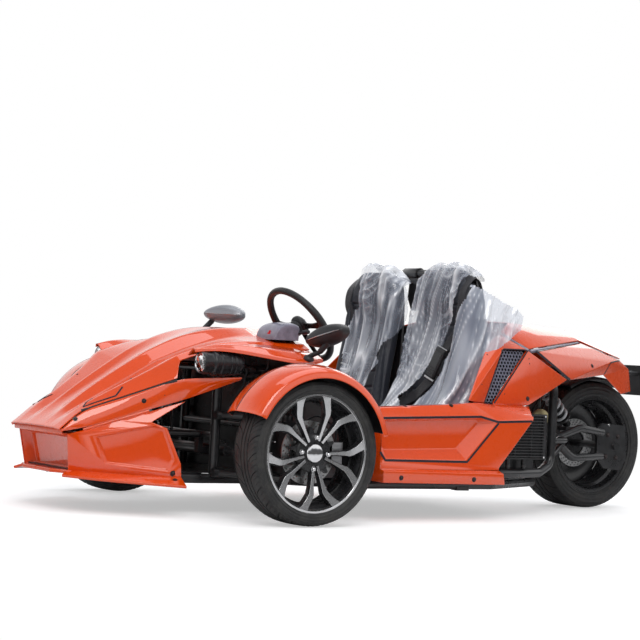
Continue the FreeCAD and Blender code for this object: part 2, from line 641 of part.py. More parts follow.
def scuttle():
    band = under_scuttle(0) + list(reversed(under_scuttle(SKIN * 1.1)))
    return front_prism(band, SCUTTLE_X0, SCUTTLE_X1).cut(column_bore())


def dashboard():
    under = SKIN * 1.1 + SEAT_GAP * 1.2
    low = 585.0
    outline = [(-360, low)] + under_scuttle(under) + [(360, low)]
    return front_prism(outline, 578, 640).cut(column_bore())


SIDE_WALL_REAR_Z = 455.0     # the side walls slope down to this height behind the footwell


def bulkhead():
    """Footwell: front wall and the two side walls."""
    under = SKIN * 1.1 + SEAT_GAP * 1.2
    foot = FLOOR_Z + FLOOR_T + SEAT_GAP
    edge = FOOTWELL_Y - 6
    x0 = BULKHEAD_X - SKIN
    outline = [(-edge, foot), (-edge, 590), (-400, 600)] + under_scuttle(under) + [
        (400, 600), (edge, 590), (edge, foot)]
    wall = front_prism(outline, x0, BULKHEAD_X).cut(column_bore())
    slope = side_prism([(x0, 585), (SILL_FRONT_X - 5, SIDE_WALL_REAR_Z), (SILL_FRONT_X - 5, 600),
                        (x0, 600)], -SILL_IN_Y, SILL_IN_Y)
    shapes = [wall]
    for side in (-1, 1):
        plan = [(x0 + 1, edge - SKIN), (x0 + 1, edge), (FOOTWELL_X, edge),
                (SILL_FRONT_X + 2, SILL_IN_Y - 6), (SILL_FRONT_X - 4, SILL_IN_Y - 6),
                (SILL_FRONT_X - 4, SILL_IN_Y - 12), (FOOTWELL_X, edge - SKIN)]
        side_wall = polygon_prism([V(x, side * y, foot) for x, y in plan], V(0, 0, 585 - foot))
        shapes.append(side_wall.cut(slope))
    return fuse(shapes)


def steering_column():
    return rod(steer_point(COLUMN_FROM), steer_point(COLUMN_TO), COLUMN_R)


def steering_wheel():
    """Rim, three spokes and the boss, on the column's axis."""
    tilt = math.radians(STEER_TILT)
    axis = V(math.cos(tilt), 0, -math.sin(tilt))
    centre = steer_point(0)
    rim_ring = Part.makeTorus(STEER_RIM_R, STEER_GRIP_R, centre, axis)
    boss = rod(centre - axis * 6, steer_point(COLUMN_FROM - 0.6), 34)
    up = V(math.sin(tilt), 0, math.cos(tilt))
    shapes = [rim_ring, boss]
    for degrees in (0.0, 90.0, 180.0):
        angle = math.radians(degrees)
        out = Y_AXIS * math.cos(angle) - up * math.sin(angle)
        wide = out.cross(axis)
        reach = STEER_RIM_R - STEER_GRIP_R + 6
        corner = centre + out * 25 - wide * 17 - axis * 4
        points = [corner, corner + wide * 34, corner + wide * 29 + out * (reach - 25),
                  corner + wide * 5 + out * (reach - 25)]
        shapes.append(polygon_prism(points, axis * 8))
    return fuse(shapes)


def instrument_pod():
    """Domed housing that stands on the scuttle around the column."""
    profile = [(588, 640), (586, 735), (600, 752), (640, 752), (680, 735), (700, 690), (700, 640)]
    dome = side_prism(profile, STEER_Y - 75, STEER_Y + 75)
    under = front_prism([(-500, 0)] + under_scuttle(-SEAT_GAP * 1.2) + [(500, 0)], 400, 900)
    column = rod(steer_point(0), steer_point(400), COLUMN_R + 8)
    return dome.cut(under).cut(column)


# ---- cockpit -----------------------------------------------------------------------------------
SEAT_PROFILE = [    # columns: x, height over the seat runners, from the front lower edge
    (335, 8), (350, 60), (345, 140), (300, 168), (0, 128), (-75, 145), (-150, 560), (-178, 815),
    (-205, 835), (-250, 822), (-262, 770), (-215, 90), (-185, 8)]
SEAT_FRONT = [      # columns: half width, height over the runners, of the seat seen from in front
    (SEAT_W / 2, 0), (SEAT_W / 2, 640), (190, 705), (174, 765), (144, 812), (84, 840), (0, 846)]
SEAT_FOOT_Z = FLOOR_Z + FLOOR_T + SEAT_RAIL_H + SEAT_GAP


def seat(side):
    """Closed solid of one seat: the side profile kept inside the front outline."""
    profile = [(x, SEAT_FOOT_Z + h - 8) for x, h in SEAT_PROFILE]
    whole = side_prism(profile, side * SEAT_Y - SEAT_W, side * SEAT_Y + SEAT_W)
    left = [(w, SEAT_FOOT_Z + h - 8) for w, h in SEAT_FRONT]
    outline = left + [(-w, z) for w, z in reversed(left[:-1])]
    return whole.common(front_prism([(side * SEAT_Y + w, z) for w, z in outline], -500, 500))


def console():
    """Tunnel between the seats with the hand lever."""
    foot = FLOOR_Z + FLOOR_T + SEAT_GAP
    tunnel = side_prism([(-120, foot), (-120, foot + 150), (300, foot + 150), (420, foot + 90),
                         (420, foot)], -32, 32)
    lever = tube([V(230, 0, foot + 145), V(230, 0, foot + 210), V(250, 0, foot + 280)], 7, 30)
    knob = Part.makeSphere(22, V(252, 0, foot + 292))
    return fuse([tunnel, lever, knob])


def pedals():
    """Brake and throttle pedals on their cross shaft."""
    x, z = 655.0, 470.0
    wall_x = BULKHEAD_X - SKIN - SEAT_GAP
    shapes = [rod(V(x, 150, z), V(x, 350, z), 8)]
    for y in (160, 340):
        shapes.append(block(x - 10, wall_x, y - 6, y + 6, z - 14, z + 14))
    for y, width in ((210, 70), (300, 50)):
        shapes.append(tube([V(x, y, z), V(x - 20, y, z - 120), V(x - 10, y, z - 180)], 6, 20))
        shapes.append(block(x - 22, x - 4, y - width / 2, y + width / 2, z - 215, z - 165))
    return fuse(shapes)


SILL_OUTLINE = [    # columns: x, z of the side wall's face
    (SILL_FRONT_X, 440), (0, 462), (-90, 470), (-380, 424), (-372, 408), (-205, 214),
    (-205, 190), (-228, 145), (SILL_FRONT_X - 8, 152)]
SILL_POCKET = [(SILL_FRONT_X + 20, 386), (-100, 410), (-186, 395), (-30, 245),
               (SILL_FRONT_X + 20, 245)]


def sill():
    """Side wall of the cockpit: sunk panel, sloping top and step ledge."""
    foot = FLOOR_Z + FLOOR_T + SEAT_GAP
    wall = side_prism(SILL_OUTLINE, SILL_IN_Y, SILL_OUT_Y)
    slope = front_prism([(SILL_OUT_Y - 62, 520), (SILL_OUT_Y + 30, 520), (SILL_OUT_Y + 30, 404),
                         (SILL_OUT_Y, 422), (SILL_OUT_Y - 62, 478)], -900, 900)
    sunk = side_prism(SILL_POCKET, SILL_OUT_Y - 40, SILL_OUT_Y + 20)
    ledge = side_prism([(SILL_FRONT_X - 8, 205), (-205, 200), (-222, 146), (SILL_FRONT_X - 12, 152)],
                       SILL_OUT_Y - 1, SILL_OUT_Y + 24)
    flange = block(-200, SILL_FRONT_X - 30, SILL_IN_Y - 40, SILL_IN_Y + 1, foot, foot + 6)
    return fuse([wall.cut(slope).cut(sunk), ledge, flange])


def rear_wall():
    """Sheet between the cockpit and the engine."""
    foot = FLOOR_Z + FLOOR_T + SEAT_GAP
    outline = [(-445, foot), (-445, 640), (-380, 700), (-300, REAR_WALL_TOP),
               (300, REAR_WALL_TOP), (380, 700), (445, 640), (445, foot)]
    return front_prism(outline, REAR_WALL_X - 5, REAR_WALL_X)


# ---- tail --------------------------------------------------------------------------------------
TAIL_POINTS = {      # left side, columns: x, y, z
    "foot": (-72, 590, 480), "slot_low_in": (-187, 548, 470), "slot_low_out": (-232, 548, 470),
    "slot_top_in": (-308, 502, 694), "slot_top_out": (-440, 500, 695), "kink": (-252, 472, 719),
    "ridge": (-366, 405, 757), "corner_low": (-452, 512, 468), "corner_arch": (-706, 456, 580),
    "seam_top": (-497, 492, 693), "seam_low": (-728, 450, 580), "tail_low": (-1108, 242, 607),
    "tail_high": (-1148, 242, 665), "deck_side": (-951, 250, 745), "tip_high": (-1250, 190, 677),
    "ear_high": (-1345, 150, 640), "ear_low": (-1362, 152, 538), "ear_in": (-1272, 186, 525),
    "deck_corner": (-455, 492, 703), "deck_ridge": (-376, 400, 766), "fairing": (-490, 300, 810),
    "roof": (-886, 200, 798), "deck_rear": (-945, 250, 755), "deck_tip": (-1270, 170, 686)}


def tail_plate(faces, thickness):
    names = sorted({name for face in faces for name in face})
    points = [V(*TAIL_POINTS[name]) for name in names]
    return plate(points, [tuple(names.index(n) for n in face) for face in faces], thickness)


def quarter_panel():
    """Panel beside the seat: pillar, air slot and lower flank, with its stud to the frame."""
    faces = [("foot", "slot_low_in", "slot_top_in", "ridge", "kink"),
             ("slot_top_in", "slot_top_out", "ridge"),
             ("slot_low_out", "corner_low", "corner_arch", "slot_top_out"),
             ("slot_low_in", "slot_low_out", "slot_top_out", "slot_top_in")]
    tube_side = 400 + SMALL_TUBE_R
    return fuse([tail_plate(faces, SKIN),
                 rod(V(-400, tube_side, UPPER_Z), V(-400, 507, UPPER_Z), STUD_R)])


def tail_panel():
    faces = [("seam_top", "deck_side", "tip_high", "tail_high"),
             ("seam_top", "tail_high", "tail_low", "seam_low"),
             ("tail_high", "tip_high", "ear_high", "ear_low", "ear_in", "tail_low")]
    return fuse([tail_plate([tuple(reversed(face)) for face in faces], SKIN),
                 rod(V(-1100, 223.9, 622), V(-1100, 245, 622), STUD_R)])


def rear_deck():
    names = ["deck_corner", "deck_ridge", "fairing", "roof", "deck_rear", "deck_tip"]
    left = [V(*TAIL_POINTS[n]) for n in names]
    right = [V(p.x, -p.y, p.z) for p in left]
    middle = [V(-470, 0, 816), V(-900, 0, 802), V(-1310, 0, 688)]
    points = left + right + middle
    half = [(12, 2, 3, 13), (2, 1, 0, 4, 3), (13, 3, 4, 5, 14)]
    other = [tuple(reversed([n + 6 if n < 6 else n for n in face])) for face in half]
    shapes = [plate(points, other + half, SKIN)]
    triangles = [(points[f[0]], points[f[i]], points[f[i + 1]])
                 for f in other + half for i in range(1, len(f) - 1)]
    for x in (HOOP_X - 30, -1250):
        y = 100.0
        top = height(triangles, x, y) - SKIN / 2 - 1
        foot = (UPPER_Z if x > -1000 else 622) + SMALL_TUBE_R + SEAT_GAP
        shapes += [rod(V(x, side * y, foot), V(x, side * y, top), STUD_R) for side in (-1, 1)]
    return fuse(shapes)


LAMP_Y, LAMP_Z = 408.0, 578.0
LAMP_X0, LAMP_X1 = 895.0, 1080.0


def headlamp():
    """Round lamp body with a narrower lens end, on a stud from the tower."""
    can = rod(V(LAMP_X0, LAMP_Y, LAMP_Z), V(LAMP_X1 - 45, LAMP_Y, LAMP_Z), 50)
    lens = rod(V(LAMP_X1 - 46, LAMP_Y, LAMP_Z), V(LAMP_X1, LAMP_Y, LAMP_Z), 43)
    arm = rod(V(LAMP_X0 + 45, LAMP_Y - 45, TOWER_TOP_Z),
              V(LAMP_X0 + 45, TOWER_Y + RAIL_R + SEAT_GAP, TOWER_TOP_Z), 8)
    return fuse([can, lens, arm])


MIRROR_FOOT = (650.0, 500.0)
MIRROR_HEADS = (             # side, x, y, z of each housing, its turn about Z and its tilt
    (1, 618, 560, 708, 20, 13), (-1, 432, 512, 788, -28, -3))
MIRROR_OUTLINE = [(-98, -16), (-64, -42), (0, -46), (62, -36), (98, -6), (72, 28), (0, 44), (-66, 26)]
MIRROR_DEPTH = 64.0


def mirror(side, x, y, z, turn, tilt):
    """Rear view mirror on its stalk, standing on the brow."""
    turn = math.radians(turn)
    tilt = math.radians(tilt)
    level = V(-math.sin(turn), side * math.cos(turn), 0)
    ahead = V(math.cos(turn), side * math.sin(turn), 0)
    out = level * math.cos(tilt) + V(0, 0, math.sin(tilt))
    up = V(0, 0, math.cos(tilt)) - level * math.sin(tilt)
    head = V(x, side * y, z)
    foot_x, foot_y = MIRROR_FOOT
    foot = V(foot_x, side * foot_y, surface_z(brow_rows(), foot_x, foot_y) + 3.9)
    neck = (foot + head) * 0.5
    neck.z = z - 45
    stalk = tube([foot, foot + V(0, 0, 10), neck, head - V(0, 0, 10)], 7, 12)
    corners = [head + ahead * (MIRROR_DEPTH / 2) + out * p + up * q for p, q in MIRROR_OUTLINE]
    return fuse([stalk, polygon_prism(corners, ahead * -MIRROR_DEPTH)])


def radiator():
    """Upright core behind the side wall, on two feet."""
    core = block(-575, -320, 452, 492, 240, 430)
    feet = [rod(V(x, y, LOWER_TUBE_Z + RAIL_R + SEAT_GAP), V(x, y, 242), 9) for x, y in ((-480, 460), (-380, 479))]
    return fuse([core] + feet)


def engine_block():
    return block(-600, -350, -180, 180, FLOOR_Z + FLOOR_T + SEAT_GAP, 520)


HOLDER_BACK_X = -1548.0      # rear face of the plate holder
PLATE_HOLE_Y = 75.0
PLATE_HOLE_R = 3.5


def plate_bracket():
    """Bar behind the tail with the blank plate holder."""
    bar = rod(V(-1263.6, 0, 622), V(HOLDER_BACK_X + 6, 0, 622), 10)
    holder = block(HOLDER_BACK_X, HOLDER_BACK_X + 8, -120, 120, 520, 660)
    holes = [rod(V(HOLDER_BACK_X - 4, side * PLATE_HOLE_Y, 625),
                 V(HOLDER_BACK_X + 16, side * PLATE_HOLE_Y, 625), PLATE_HOLE_R)
             for side in (-1, 1)]
    return fuse([bar, holder]).cut(Part.makeCompound(holes))


def rear_brake_disc():
    y = -REAR_FACE + HUB_LENGTH
    return ring(REAR_CENTRE, HUB_R + SEAT_GAP, 110.0, y - 12, y - 6)


def save(name, shape):
    shape.exportStep("parts/" + name + ".step")


def save_pair(name, shape, prefix=""):
    save(prefix + "left_" + name, shape)
    save(prefix + "right_" + name, mirrored(shape))


def main():
    os.makedirs("parts", exist_ok=True)
    save_pair("tyre", tyre(FRONT_CENTRE, FRONT_TYRE_R, FRONT_TYRE_W), "front_")
    save_pair("rim", rim(FRONT_CENTRE, FRONT_TYRE_W, 1, FRONT_INSET), "front_")
    save_pair("brake_disc", ring(FRONT_CENTRE, HUB_R + SEAT_GAP, FRONT_DISC_R, *FRONT_DISC), "front_")
    save_pair("knuckle", knuckle(), "front_")
    save_pair("fender", fender(), "front_")
    save_pair("wishbones", wishbones(), "front_")
    save_pair("shock", front_shock(), "front_")
    save("rear_tyre", tyre(REAR_CENTRE, REAR_TYRE_R, REAR_TYRE_W))
    save("rear_rim", rim(REAR_CENTRE, REAR_TYRE_W, -1, REAR_INSET))
    save("rear_swingarm", rear_swingarm())
    save("rear_brake_disc", rear_brake_disc())
    save_pair("shock", rear_shock(), "rear_")
    save("front_frame", front_frame())
    save("steering_rack", steering_rack())
    save("floor_rails", floor_rails())
    save("floor_pan", floor_pan())
    save("roll_bar", roll_bar())
    save("rear_frame", rear_frame())
    save("hood", hood())
    save("nose", nose())
    save_pair("hood_strip", hood_strip())
    save_pair("brow", brow())
    save("scuttle", scuttle())
    save("dashboard", dashboard())
    save("bulkhead", bulkhead())
    save("steering_column", steering_column())
    save("steering_wheel", steering_wheel())
    save("instrument_pod", instrument_pod())
    save("driver_seat", seat(1))
    save("passenger_seat", seat(-1))
    save("console", console())
    save("pedals", pedals())
    save_pair("sill", sill())
    save("rear_wall", rear_wall())
    save_pair("quarter_panel", quarter_panel())
    save_pair("tail_panel", tail_panel())
    save("rear_deck", rear_deck())
    save_pair("headlamp", headlamp())
    for side, *place in MIRROR_HEADS:
        save("left_mirror" if side > 0 else "right_mirror", mirror(side, *place))
    save_pair("radiator", radiator())
    save("engine_block", engine_block())
    save("plate_bracket", plate_bracket())


main()
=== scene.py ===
import json
import math

import bpy
from mathutils import Matrix, Vector, noise
from mathutils.bvhtree import BVHTree
from mathutils.geometry import tessellate_polygon


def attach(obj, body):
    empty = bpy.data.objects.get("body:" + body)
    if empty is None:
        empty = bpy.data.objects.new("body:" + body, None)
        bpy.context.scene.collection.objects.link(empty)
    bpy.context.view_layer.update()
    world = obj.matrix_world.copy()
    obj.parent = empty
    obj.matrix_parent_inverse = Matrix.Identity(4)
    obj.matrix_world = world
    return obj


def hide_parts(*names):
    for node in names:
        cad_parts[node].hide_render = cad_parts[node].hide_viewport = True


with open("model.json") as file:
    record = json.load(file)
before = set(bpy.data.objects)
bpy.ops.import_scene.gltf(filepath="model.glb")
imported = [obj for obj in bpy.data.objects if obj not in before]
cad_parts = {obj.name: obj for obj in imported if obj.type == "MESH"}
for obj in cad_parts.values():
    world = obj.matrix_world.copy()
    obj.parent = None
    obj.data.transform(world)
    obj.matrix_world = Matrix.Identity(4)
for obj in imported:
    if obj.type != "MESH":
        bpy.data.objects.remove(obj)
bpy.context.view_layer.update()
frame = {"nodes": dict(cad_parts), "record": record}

NODES = frame["nodes"]
CHASSIS = "chassis"
DEGREES = 57.3     # in a radian
SIDES = ((1, "left"), (-1, "right"))
SEAT_SIDES = ((1, "driver"), (-1, "passenger"))
FRONT_X, FRONT_Z, TRACK_HALF = 0.8, 0.269, 0.738    # axle of a front wheel, middle of its tyre
REAR_X, REAR_Z = -1.19, 0.290


# ---------------------------------------------------------------- geometry helpers
def unit_frame(axis):
    """Two unit vectors square to axis and to each other."""
    axis = axis.normalized()
    side = Vector((0, 0, 1)) if abs(axis.z) < 0.9 else Vector((1, 0, 0))
    u = axis.cross(side).normalized()
    return u, axis.cross(u).normalized()


def smooth(mesh):
    mesh.polygons.foreach_set("use_smooth", [True] * len(mesh.polygons))


class Geo:
    """Collects vertices and faces of many small shapes, then becomes one object."""

    def __init__(self):
        self.v, self.f, self.m, self.slot_now = [], [], [], 0

    def add(self, verts, faces):
        base = len(self.v)
        self.v += [Vector(p) for p in verts]
        self.f += [tuple(base + i for i in face) for face in faces]
        self.m += [self.slot_now] * len(faces)
        return self

    def box(self, x0, x1, y0, y1, z0, z1, turn=None, about=None):
        pts = [Vector((x, y, z)) for x in (x0, x1) for y in (y0, y1) for z in (z0, z1)]
        if turn is not None:
            about = Vector(about)
            pts = [turn @ (p - about) + about for p in pts]
        return self.add(pts, [(0, 1, 3, 2), (4, 6, 7, 5), (0, 4, 5, 1), (2, 3, 7, 6),
                              (0, 2, 6, 4), (1, 5, 7, 3)])

    def lathe(self, profile, origin, axis, sides=48, close=True, start=0.0, sweep=None):
        """profile: (radius, distance along axis) pairs turned about axis through origin."""
        origin, axis = Vector(origin), Vector(axis).normalized()
        u, w = unit_frame(axis)
        steps = sides if sweep is None else sides + 1
        turn = 2 * math.pi if sweep is None else sweep
        verts = []
        for i in range(steps):
            a = start + turn * i / sides
            out = u * math.cos(a) + w * math.sin(a)
            verts += [origin + out * r + axis * h for r, h in profile]
        n = len(profile)
        faces = []
        for i in range(sides):
            for j in range(n if close else n - 1):
                a, b = i * n + j, i * n + (j + 1) % n
                c, d = ((i + 1) % steps) * n + (j + 1) % n, ((i + 1) % steps) * n + j
                faces.append((a, b, c, d))
        return self.add(verts, faces)

    def rod(self, a, b, r, sides=16, r2=None, bevel=0.0):
        a, b = Vector(a), Vector(b)
        r2 = r if r2 is None else r2
        length = (b - a).length
        cut = min(bevel, length * 0.4, r * 0.5)
        if cut > 0:
            rings = [(r - cut, 0), (r, cut), (r2, length - cut), (r2 - cut, length)]
        else:
            rings = [(r, 0), (r2, length)]
        u, w = unit_frame(b - a)
        d = (b - a).normalized()
        verts, faces = [], []
        for radius, h in rings:
            for i in range(sides):
                t = 2 * math.pi * i / sides
                verts.append(a + d * h + (u * math.cos(t) + w * math.sin(t)) * radius)
        for k in range(len(rings) - 1):
            for i in range(sides):
                j = (i + 1) % sides
                faces.append((k * sides + i, k * sides + j, (k + 1) * sides + j, (k + 1) * sides + i))
        faces.append(tuple(range(sides))[::-1])
        faces.append(tuple((len(rings) - 1) * sides + i for i in range(sides)))
        return self.add(verts, faces)

    def tube(self, points, r, sides=12, closed=False, cap=True):
        """Round bar along a smooth row of points. r may be a list, one radius for each point."""
        pts = [Vector(p) for p in points]
        n = len(pts)
        radii = r if isinstance(r, (list, tuple)) else [r] * n
        tangents = []
        for i in range(n):
            before = pts[i - 1] if (i > 0 or closed) else pts[i]
            after = pts[(i + 1) % n] if (i < n - 1 or closed) else pts[i]
            tangents.append((after - before).normalized())
        u, _ = unit_frame(tangents[0])
        verts = []
        for i in range(n):
            u = (u - tangents[i] * u.dot(tangents[i])).normalized()
            w = tangents[i].cross(u)
            for k in range(sides):
                t = 2 * math.pi * k / sides
                verts.append(pts[i] + (u * math.cos(t) + w * math.sin(t)) * radii[i])
        faces = []
        for i in range(n if closed else n - 1):
            for k in range(sides):
                j = (k + 1) % sides
                a, b = i * sides, ((i + 1) % n) * sides
                faces.append((a + k, a + j, b + j, b + k))
        if cap and not closed:
            faces.append(tuple(range(sides))[::-1])
            faces.append(tuple((n - 1) * sides + k for k in range(sides)))
        return self.add(verts, faces)

    def grid(self, rows, flip=False):
        """Open surface over rows of points."""
        n = len(rows[0])
        faces = []
        for i in range(len(rows) - 1):
            for j in range(n - 1):
                q = (i * n + j, i * n + j + 1, (i + 1) * n + j + 1, (i + 1) * n + j)
                faces.append(q[::-1] if flip else q)
        return self.add([p for row in rows for p in row], faces)

    def prism(self, points, depth):
        points = [Vector(p) for p in points]
        depth = Vector(depth)
        n = len(points)
        faces = [tuple(range(n)), tuple(range(2 * n - 1, n - 1, -1))]
        faces += [(i, n + i, n + (i + 1) % n, (i + 1) % n) for i in range(n)]
        return self.add(points + [p + depth for p in points], faces)

    def dome(self, centre, normal, r, height, sides=14, rings=4):
        """Domed bolt head or button."""
        centre, normal = Vector(centre), Vector(normal).normalized()
        u, w = unit_frame(normal)
        verts, faces = [], []
        for k in range(rings):
            t = (math.pi / 2) * k / rings
            for i in range(sides):
                a = 2 * math.pi * i / sides
                verts.append(centre + (u * math.cos(a) + w * math.sin(a)) * r * math.cos(t)
                             + normal * height * math.sin(t))
        verts.append(centre + normal * height)
        for k in range(rings - 1):
            for i in range(sides):
                j = (i + 1) % sides
                faces.append((k * sides + i, k * sides + j, (k + 1) * sides + j, (k + 1) * sides + i))
        top = len(verts) - 1
        faces += [((rings - 1) * sides + i, (rings - 1) * sides + (i + 1) % sides, top) for i in range(sides)]
        faces.append(tuple(range(sides))[::-1])
        return self.add(verts, faces)

    def hex_nut(self, centre, normal, r, height):
        centre, normal = Vector(centre), Vector(normal).normalized()
        return self.rod(centre, centre + normal * height, r, sides=6, bevel=height * 0.15)

    def bolt(self, centre, normal, r=0.006, height=None):
        """Domed cap screw with a washer and a hex socket."""
        centre, normal = Vector(centre), Vector(normal).normalized()
        height = height or r * 0.75
        self.rod(centre - normal * 0.0005, centre + normal * r * 0.16, r * 1.55, sides=18)
        self.dome(centre + normal * r * 0.16, normal, r, height)
        return self

    def build(self, name, mats, body, slot, replaces=(), angle=35, ride=True):
        data = bpy.data.meshes.new(name)
        data.from_pydata([tuple(p) for p in self.v], [], self.f)
        data.update()
        obj = bpy.data.objects.new(name, data)
        bpy.context.scene.collection.objects.link(obj)
        for mat in mats if isinstance(mats, (list, tuple)) else [mats]:
            data.materials.append(mat)
        data.polygons.foreach_set("material_index", self.m)
        if angle:
            smooth(data)
            data.set_sharp_from_angle(angle=math.radians(angle))
        if ride:
            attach(obj, body)
            for node in replaces if isinstance(replaces, (list, tuple)) else [replaces]:
                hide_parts(node)
        return obj


def modifier(obj, kind, **settings):
    mod = obj.modifiers.new(kind.lower(), kind)
    for key, value in settings.items():
        setattr(mod, key, value)
    return mod


def soften(obj, width=0.0015, segments=2, angle=28):
    modifier(obj, "WELD", merge_threshold=0.00002)
    modifier(obj, "BEVEL", width=width, segments=segments, limit_method="ANGLE",
             angle_limit=math.radians(angle), harden_normals=False)
    return obj


def arc_points(points, bend, steps=6):
    """A path of straight runs with round corners."""
    pts = [Vector(p) for p in points]
    out = [pts[0]]
    for a, b, c in zip(pts, pts[1:], pts[2:]):
        into, leave = (b - a).normalized(), (c - b).normalized()
        turn = into.angle(leave)
        cut = min(bend * math.tan(turn / 2), 0.48 * (b - a).length, 0.48 * (c - b).length)
        p, q = b - into * cut, b + leave * cut
        for i in range(steps + 1):
            t = i / steps
            out.append(p * (1 - t) ** 2 + b * 2 * t * (1 - t) + q * t * t)
    out.append(pts[-1])
    return out


def helix(low, high, radius, turns, steps_per_turn=20, lead=0.0):
    low, high = Vector(low), Vector(high)
    axis = high - low
    u, w = unit_frame(axis)
    count = int(turns * steps_per_turn)
    return [low + axis * (i / count)
            + (u * math.cos(lead + 2 * math.pi * i / steps_per_turn)
               + w * math.sin(lead + 2 * math.pi * i / steps_per_turn)) * radius
            for i in range(count + 1)]


# ---------------------------------------------------------------- materials
class Shader:
    """A small wrapper that makes node materials short to write."""

    def __init__(self, name):
        self.mat = bpy.data.materials.new(name)
        self.mat.use_nodes = True
        self.tree = self.mat.node_tree
        self.tree.nodes.clear()
        self.out = self.node("ShaderNodeOutputMaterial")
        self.bsdf = self.node("ShaderNodeBsdfPrincipled")
        self.link(self.bsdf.outputs[0], self.out.inputs[0])
        self.coords = self.node("ShaderNodeTexCoord").outputs["Object"]

    def node(self, kind, **settings):
        made = self.tree.nodes.new(kind)
        for key, value in settings.items():
            setattr(made, key, value)
        return made

    def link(self, a, b):
        self.tree.links.new(a, b)

    def set(self, **values):
        for key, value in values.items():
            name = key.replace("_", " ")
            socket = self.bsdf.inputs[name]
            if hasattr(value, "is_linked"):
                self.link(value, socket)
            elif isinstance(value, tuple) and len(value) == 3:
                socket.default_value = (*value, 1.0)
            else:
                socket.default_value = value
        return self

    def noise(self, scale, detail=4.0, rough=0.55, distort=0.0, stretch=None, out="Fac"):
        made = self.node("ShaderNodeTexNoise")
        made.inputs["Scale"].default_value = scale
        made.inputs["Detail"].default_value = detail
        made.inputs["Roughness"].default_value = rough
        made.inputs["Distortion"].default_value = distort
        vector = self.coords
        if stretch:
            mapping = self.node("ShaderNodeMapping")
            mapping.inputs["Scale"].default_value = stretch
            self.link(self.coords, mapping.inputs["Vector"])
            vector = mapping.outputs[0]
        self.link(vector, made.inputs["Vector"])
        return made.outputs[out]

    def ramp(self, fac, stops, mode="LINEAR"):
        made = self.node("ShaderNodeValToRGB")
        made.color_ramp.interpolation = mode
        elements = made.color_ramp.elements
        while len(elements) < len(stops):
            elements.new(0.5)
        for element, (pos, value) in zip(elements, stops):
            element.position = pos
            element.color = (*value, 1) if isinstance(value, tuple) else (value, value, value, 1)
        self.link(fac, made.inputs[0])
        return made.outputs[0]

    def mix(self, fac, a, b):
        made = self.node("ShaderNodeMix", data_type="RGBA")
        for value, socket in ((fac, made.inputs[0]), (a, made.inputs[6]), (b, made.inputs[7])):
            if hasattr(value, "is_linked"):
                self.link(value, socket)
            elif isinstance(value, tuple):
                socket.default_value = (*value, 1)
            else:
                socket.default_value = value
        return made.outputs[2]

    def math(self, op, a, b=0.0):
        made = self.node("ShaderNodeMath", operation=op)
        for value, socket in ((a, made.inputs[0]), (b, made.inputs[1])):
            if hasattr(value, "is_linked"):
                self.link(value, socket)
            else:
                socket.default_value = value
        return made.outputs[0]

    def bump(self, height, strength=0.2, distance=0.002):
        made = self.node("ShaderNodeBump")
        made.inputs["Strength"].default_value = strength
        made.inputs["Distance"].default_value = distance
        self.link(height, made.inputs["Height"])
        last = getattr(self, "last_bump", None)
        if last is not None:
            self.link(last, made.inputs["Normal"])
        self.last_bump = made.outputs[0]
        self.link(self.last_bump, self.bsdf.inputs["Normal"])
        return self


def orange_paint():
    s = Shader("orange_paint")
    base = s.mix(s.noise(3.0, 2), (0.78, 0.064, 0.002), (0.86, 0.082, 0.003))
    dust = s.ramp(s.noise(22.0, 8, 0.7), [(0.45, 0.0), (0.9, 1.0)])
    s.set(Base_Color=base, Roughness=s.ramp(dust, [(0.0, 0.27), (1.0, 0.36)]), Metallic=0.0)
    s.set(Specular_IOR_Level=0.1, Coat_Weight=1.0, Coat_Roughness=0.03, Coat_IOR=1.8)
    s.bump(s.noise(420.0, 2), 0.03, 0.0004)
    s.bump(s.noise(9.0, 2), 0.06, 0.003)
    return s.mat


def satin_black(name="satin_black", color=(0.012, 0.012, 0.013), rough=(0.3, 0.5), coat=0.25, scale=90.0):
    s = Shader(name)
    grime = s.ramp(s.noise(14.0, 8, 0.65), [(0.35, 0.0), (0.75, 1.0)])
    lighter = tuple(c * 2.2 + 0.006 for c in color)
    s.set(Base_Color=s.mix(grime, color, lighter),
          Roughness=s.ramp(grime, [(0.0, rough[0]), (1.0, rough[1])]))
    s.set(Coat_Weight=coat, Coat_Roughness=0.2)
    s.bump(s.noise(scale * 6, 3), 0.08, 0.0006)
    return s.mat


def plastic_black(name="plastic_black", color=(0.014, 0.014, 0.016), rough=0.48, grain=900.0):
    s = Shader(name)
    wear = s.ramp(s.noise(30.0, 6, 0.6), [(0.3, 0.0), (0.8, 1.0)])
    s.set(Base_Color=s.mix(wear, color, tuple(c * 1.8 for c in color)),
          Roughness=s.ramp(wear, [(0, rough - 0.07), (1, rough + 0.1)]))
    s.bump(s.noise(grain, 2), 0.18, 0.0005)
    return s.mat


def shadow_black():
    # Near-black, almost unshiny sheet: painted shade that stands in for the dark hollow behind the slot's
    # mesh.
    s = Shader("slot_painted_shade")
    s.set(Base_Color=s.mix(s.noise(140.0, 3), (0.002, 0.002, 0.003), (0.007, 0.007, 0.009)), Roughness=0.95,
          Specular_IOR_Level=0.02)
    s.bump(s.noise(260.0, 2), 0.1, 0.001)
    return s.mat


def metal(name, color, rough=(0.2, 0.36), metallic=1.0, scale=60.0, stretch=None, bump=0.06):
    s = Shader(name)
    marks = s.noise(scale, 6, 0.7, stretch=stretch)
    s.set(Base_Color=s.mix(marks, tuple(c * 0.8 for c in color), color), Metallic=metallic,
          Roughness=s.ramp(marks, [(0.25, rough[0]), (0.75, rough[1])]))
    s.bump(marks, bump, 0.0004)
    return s.mat


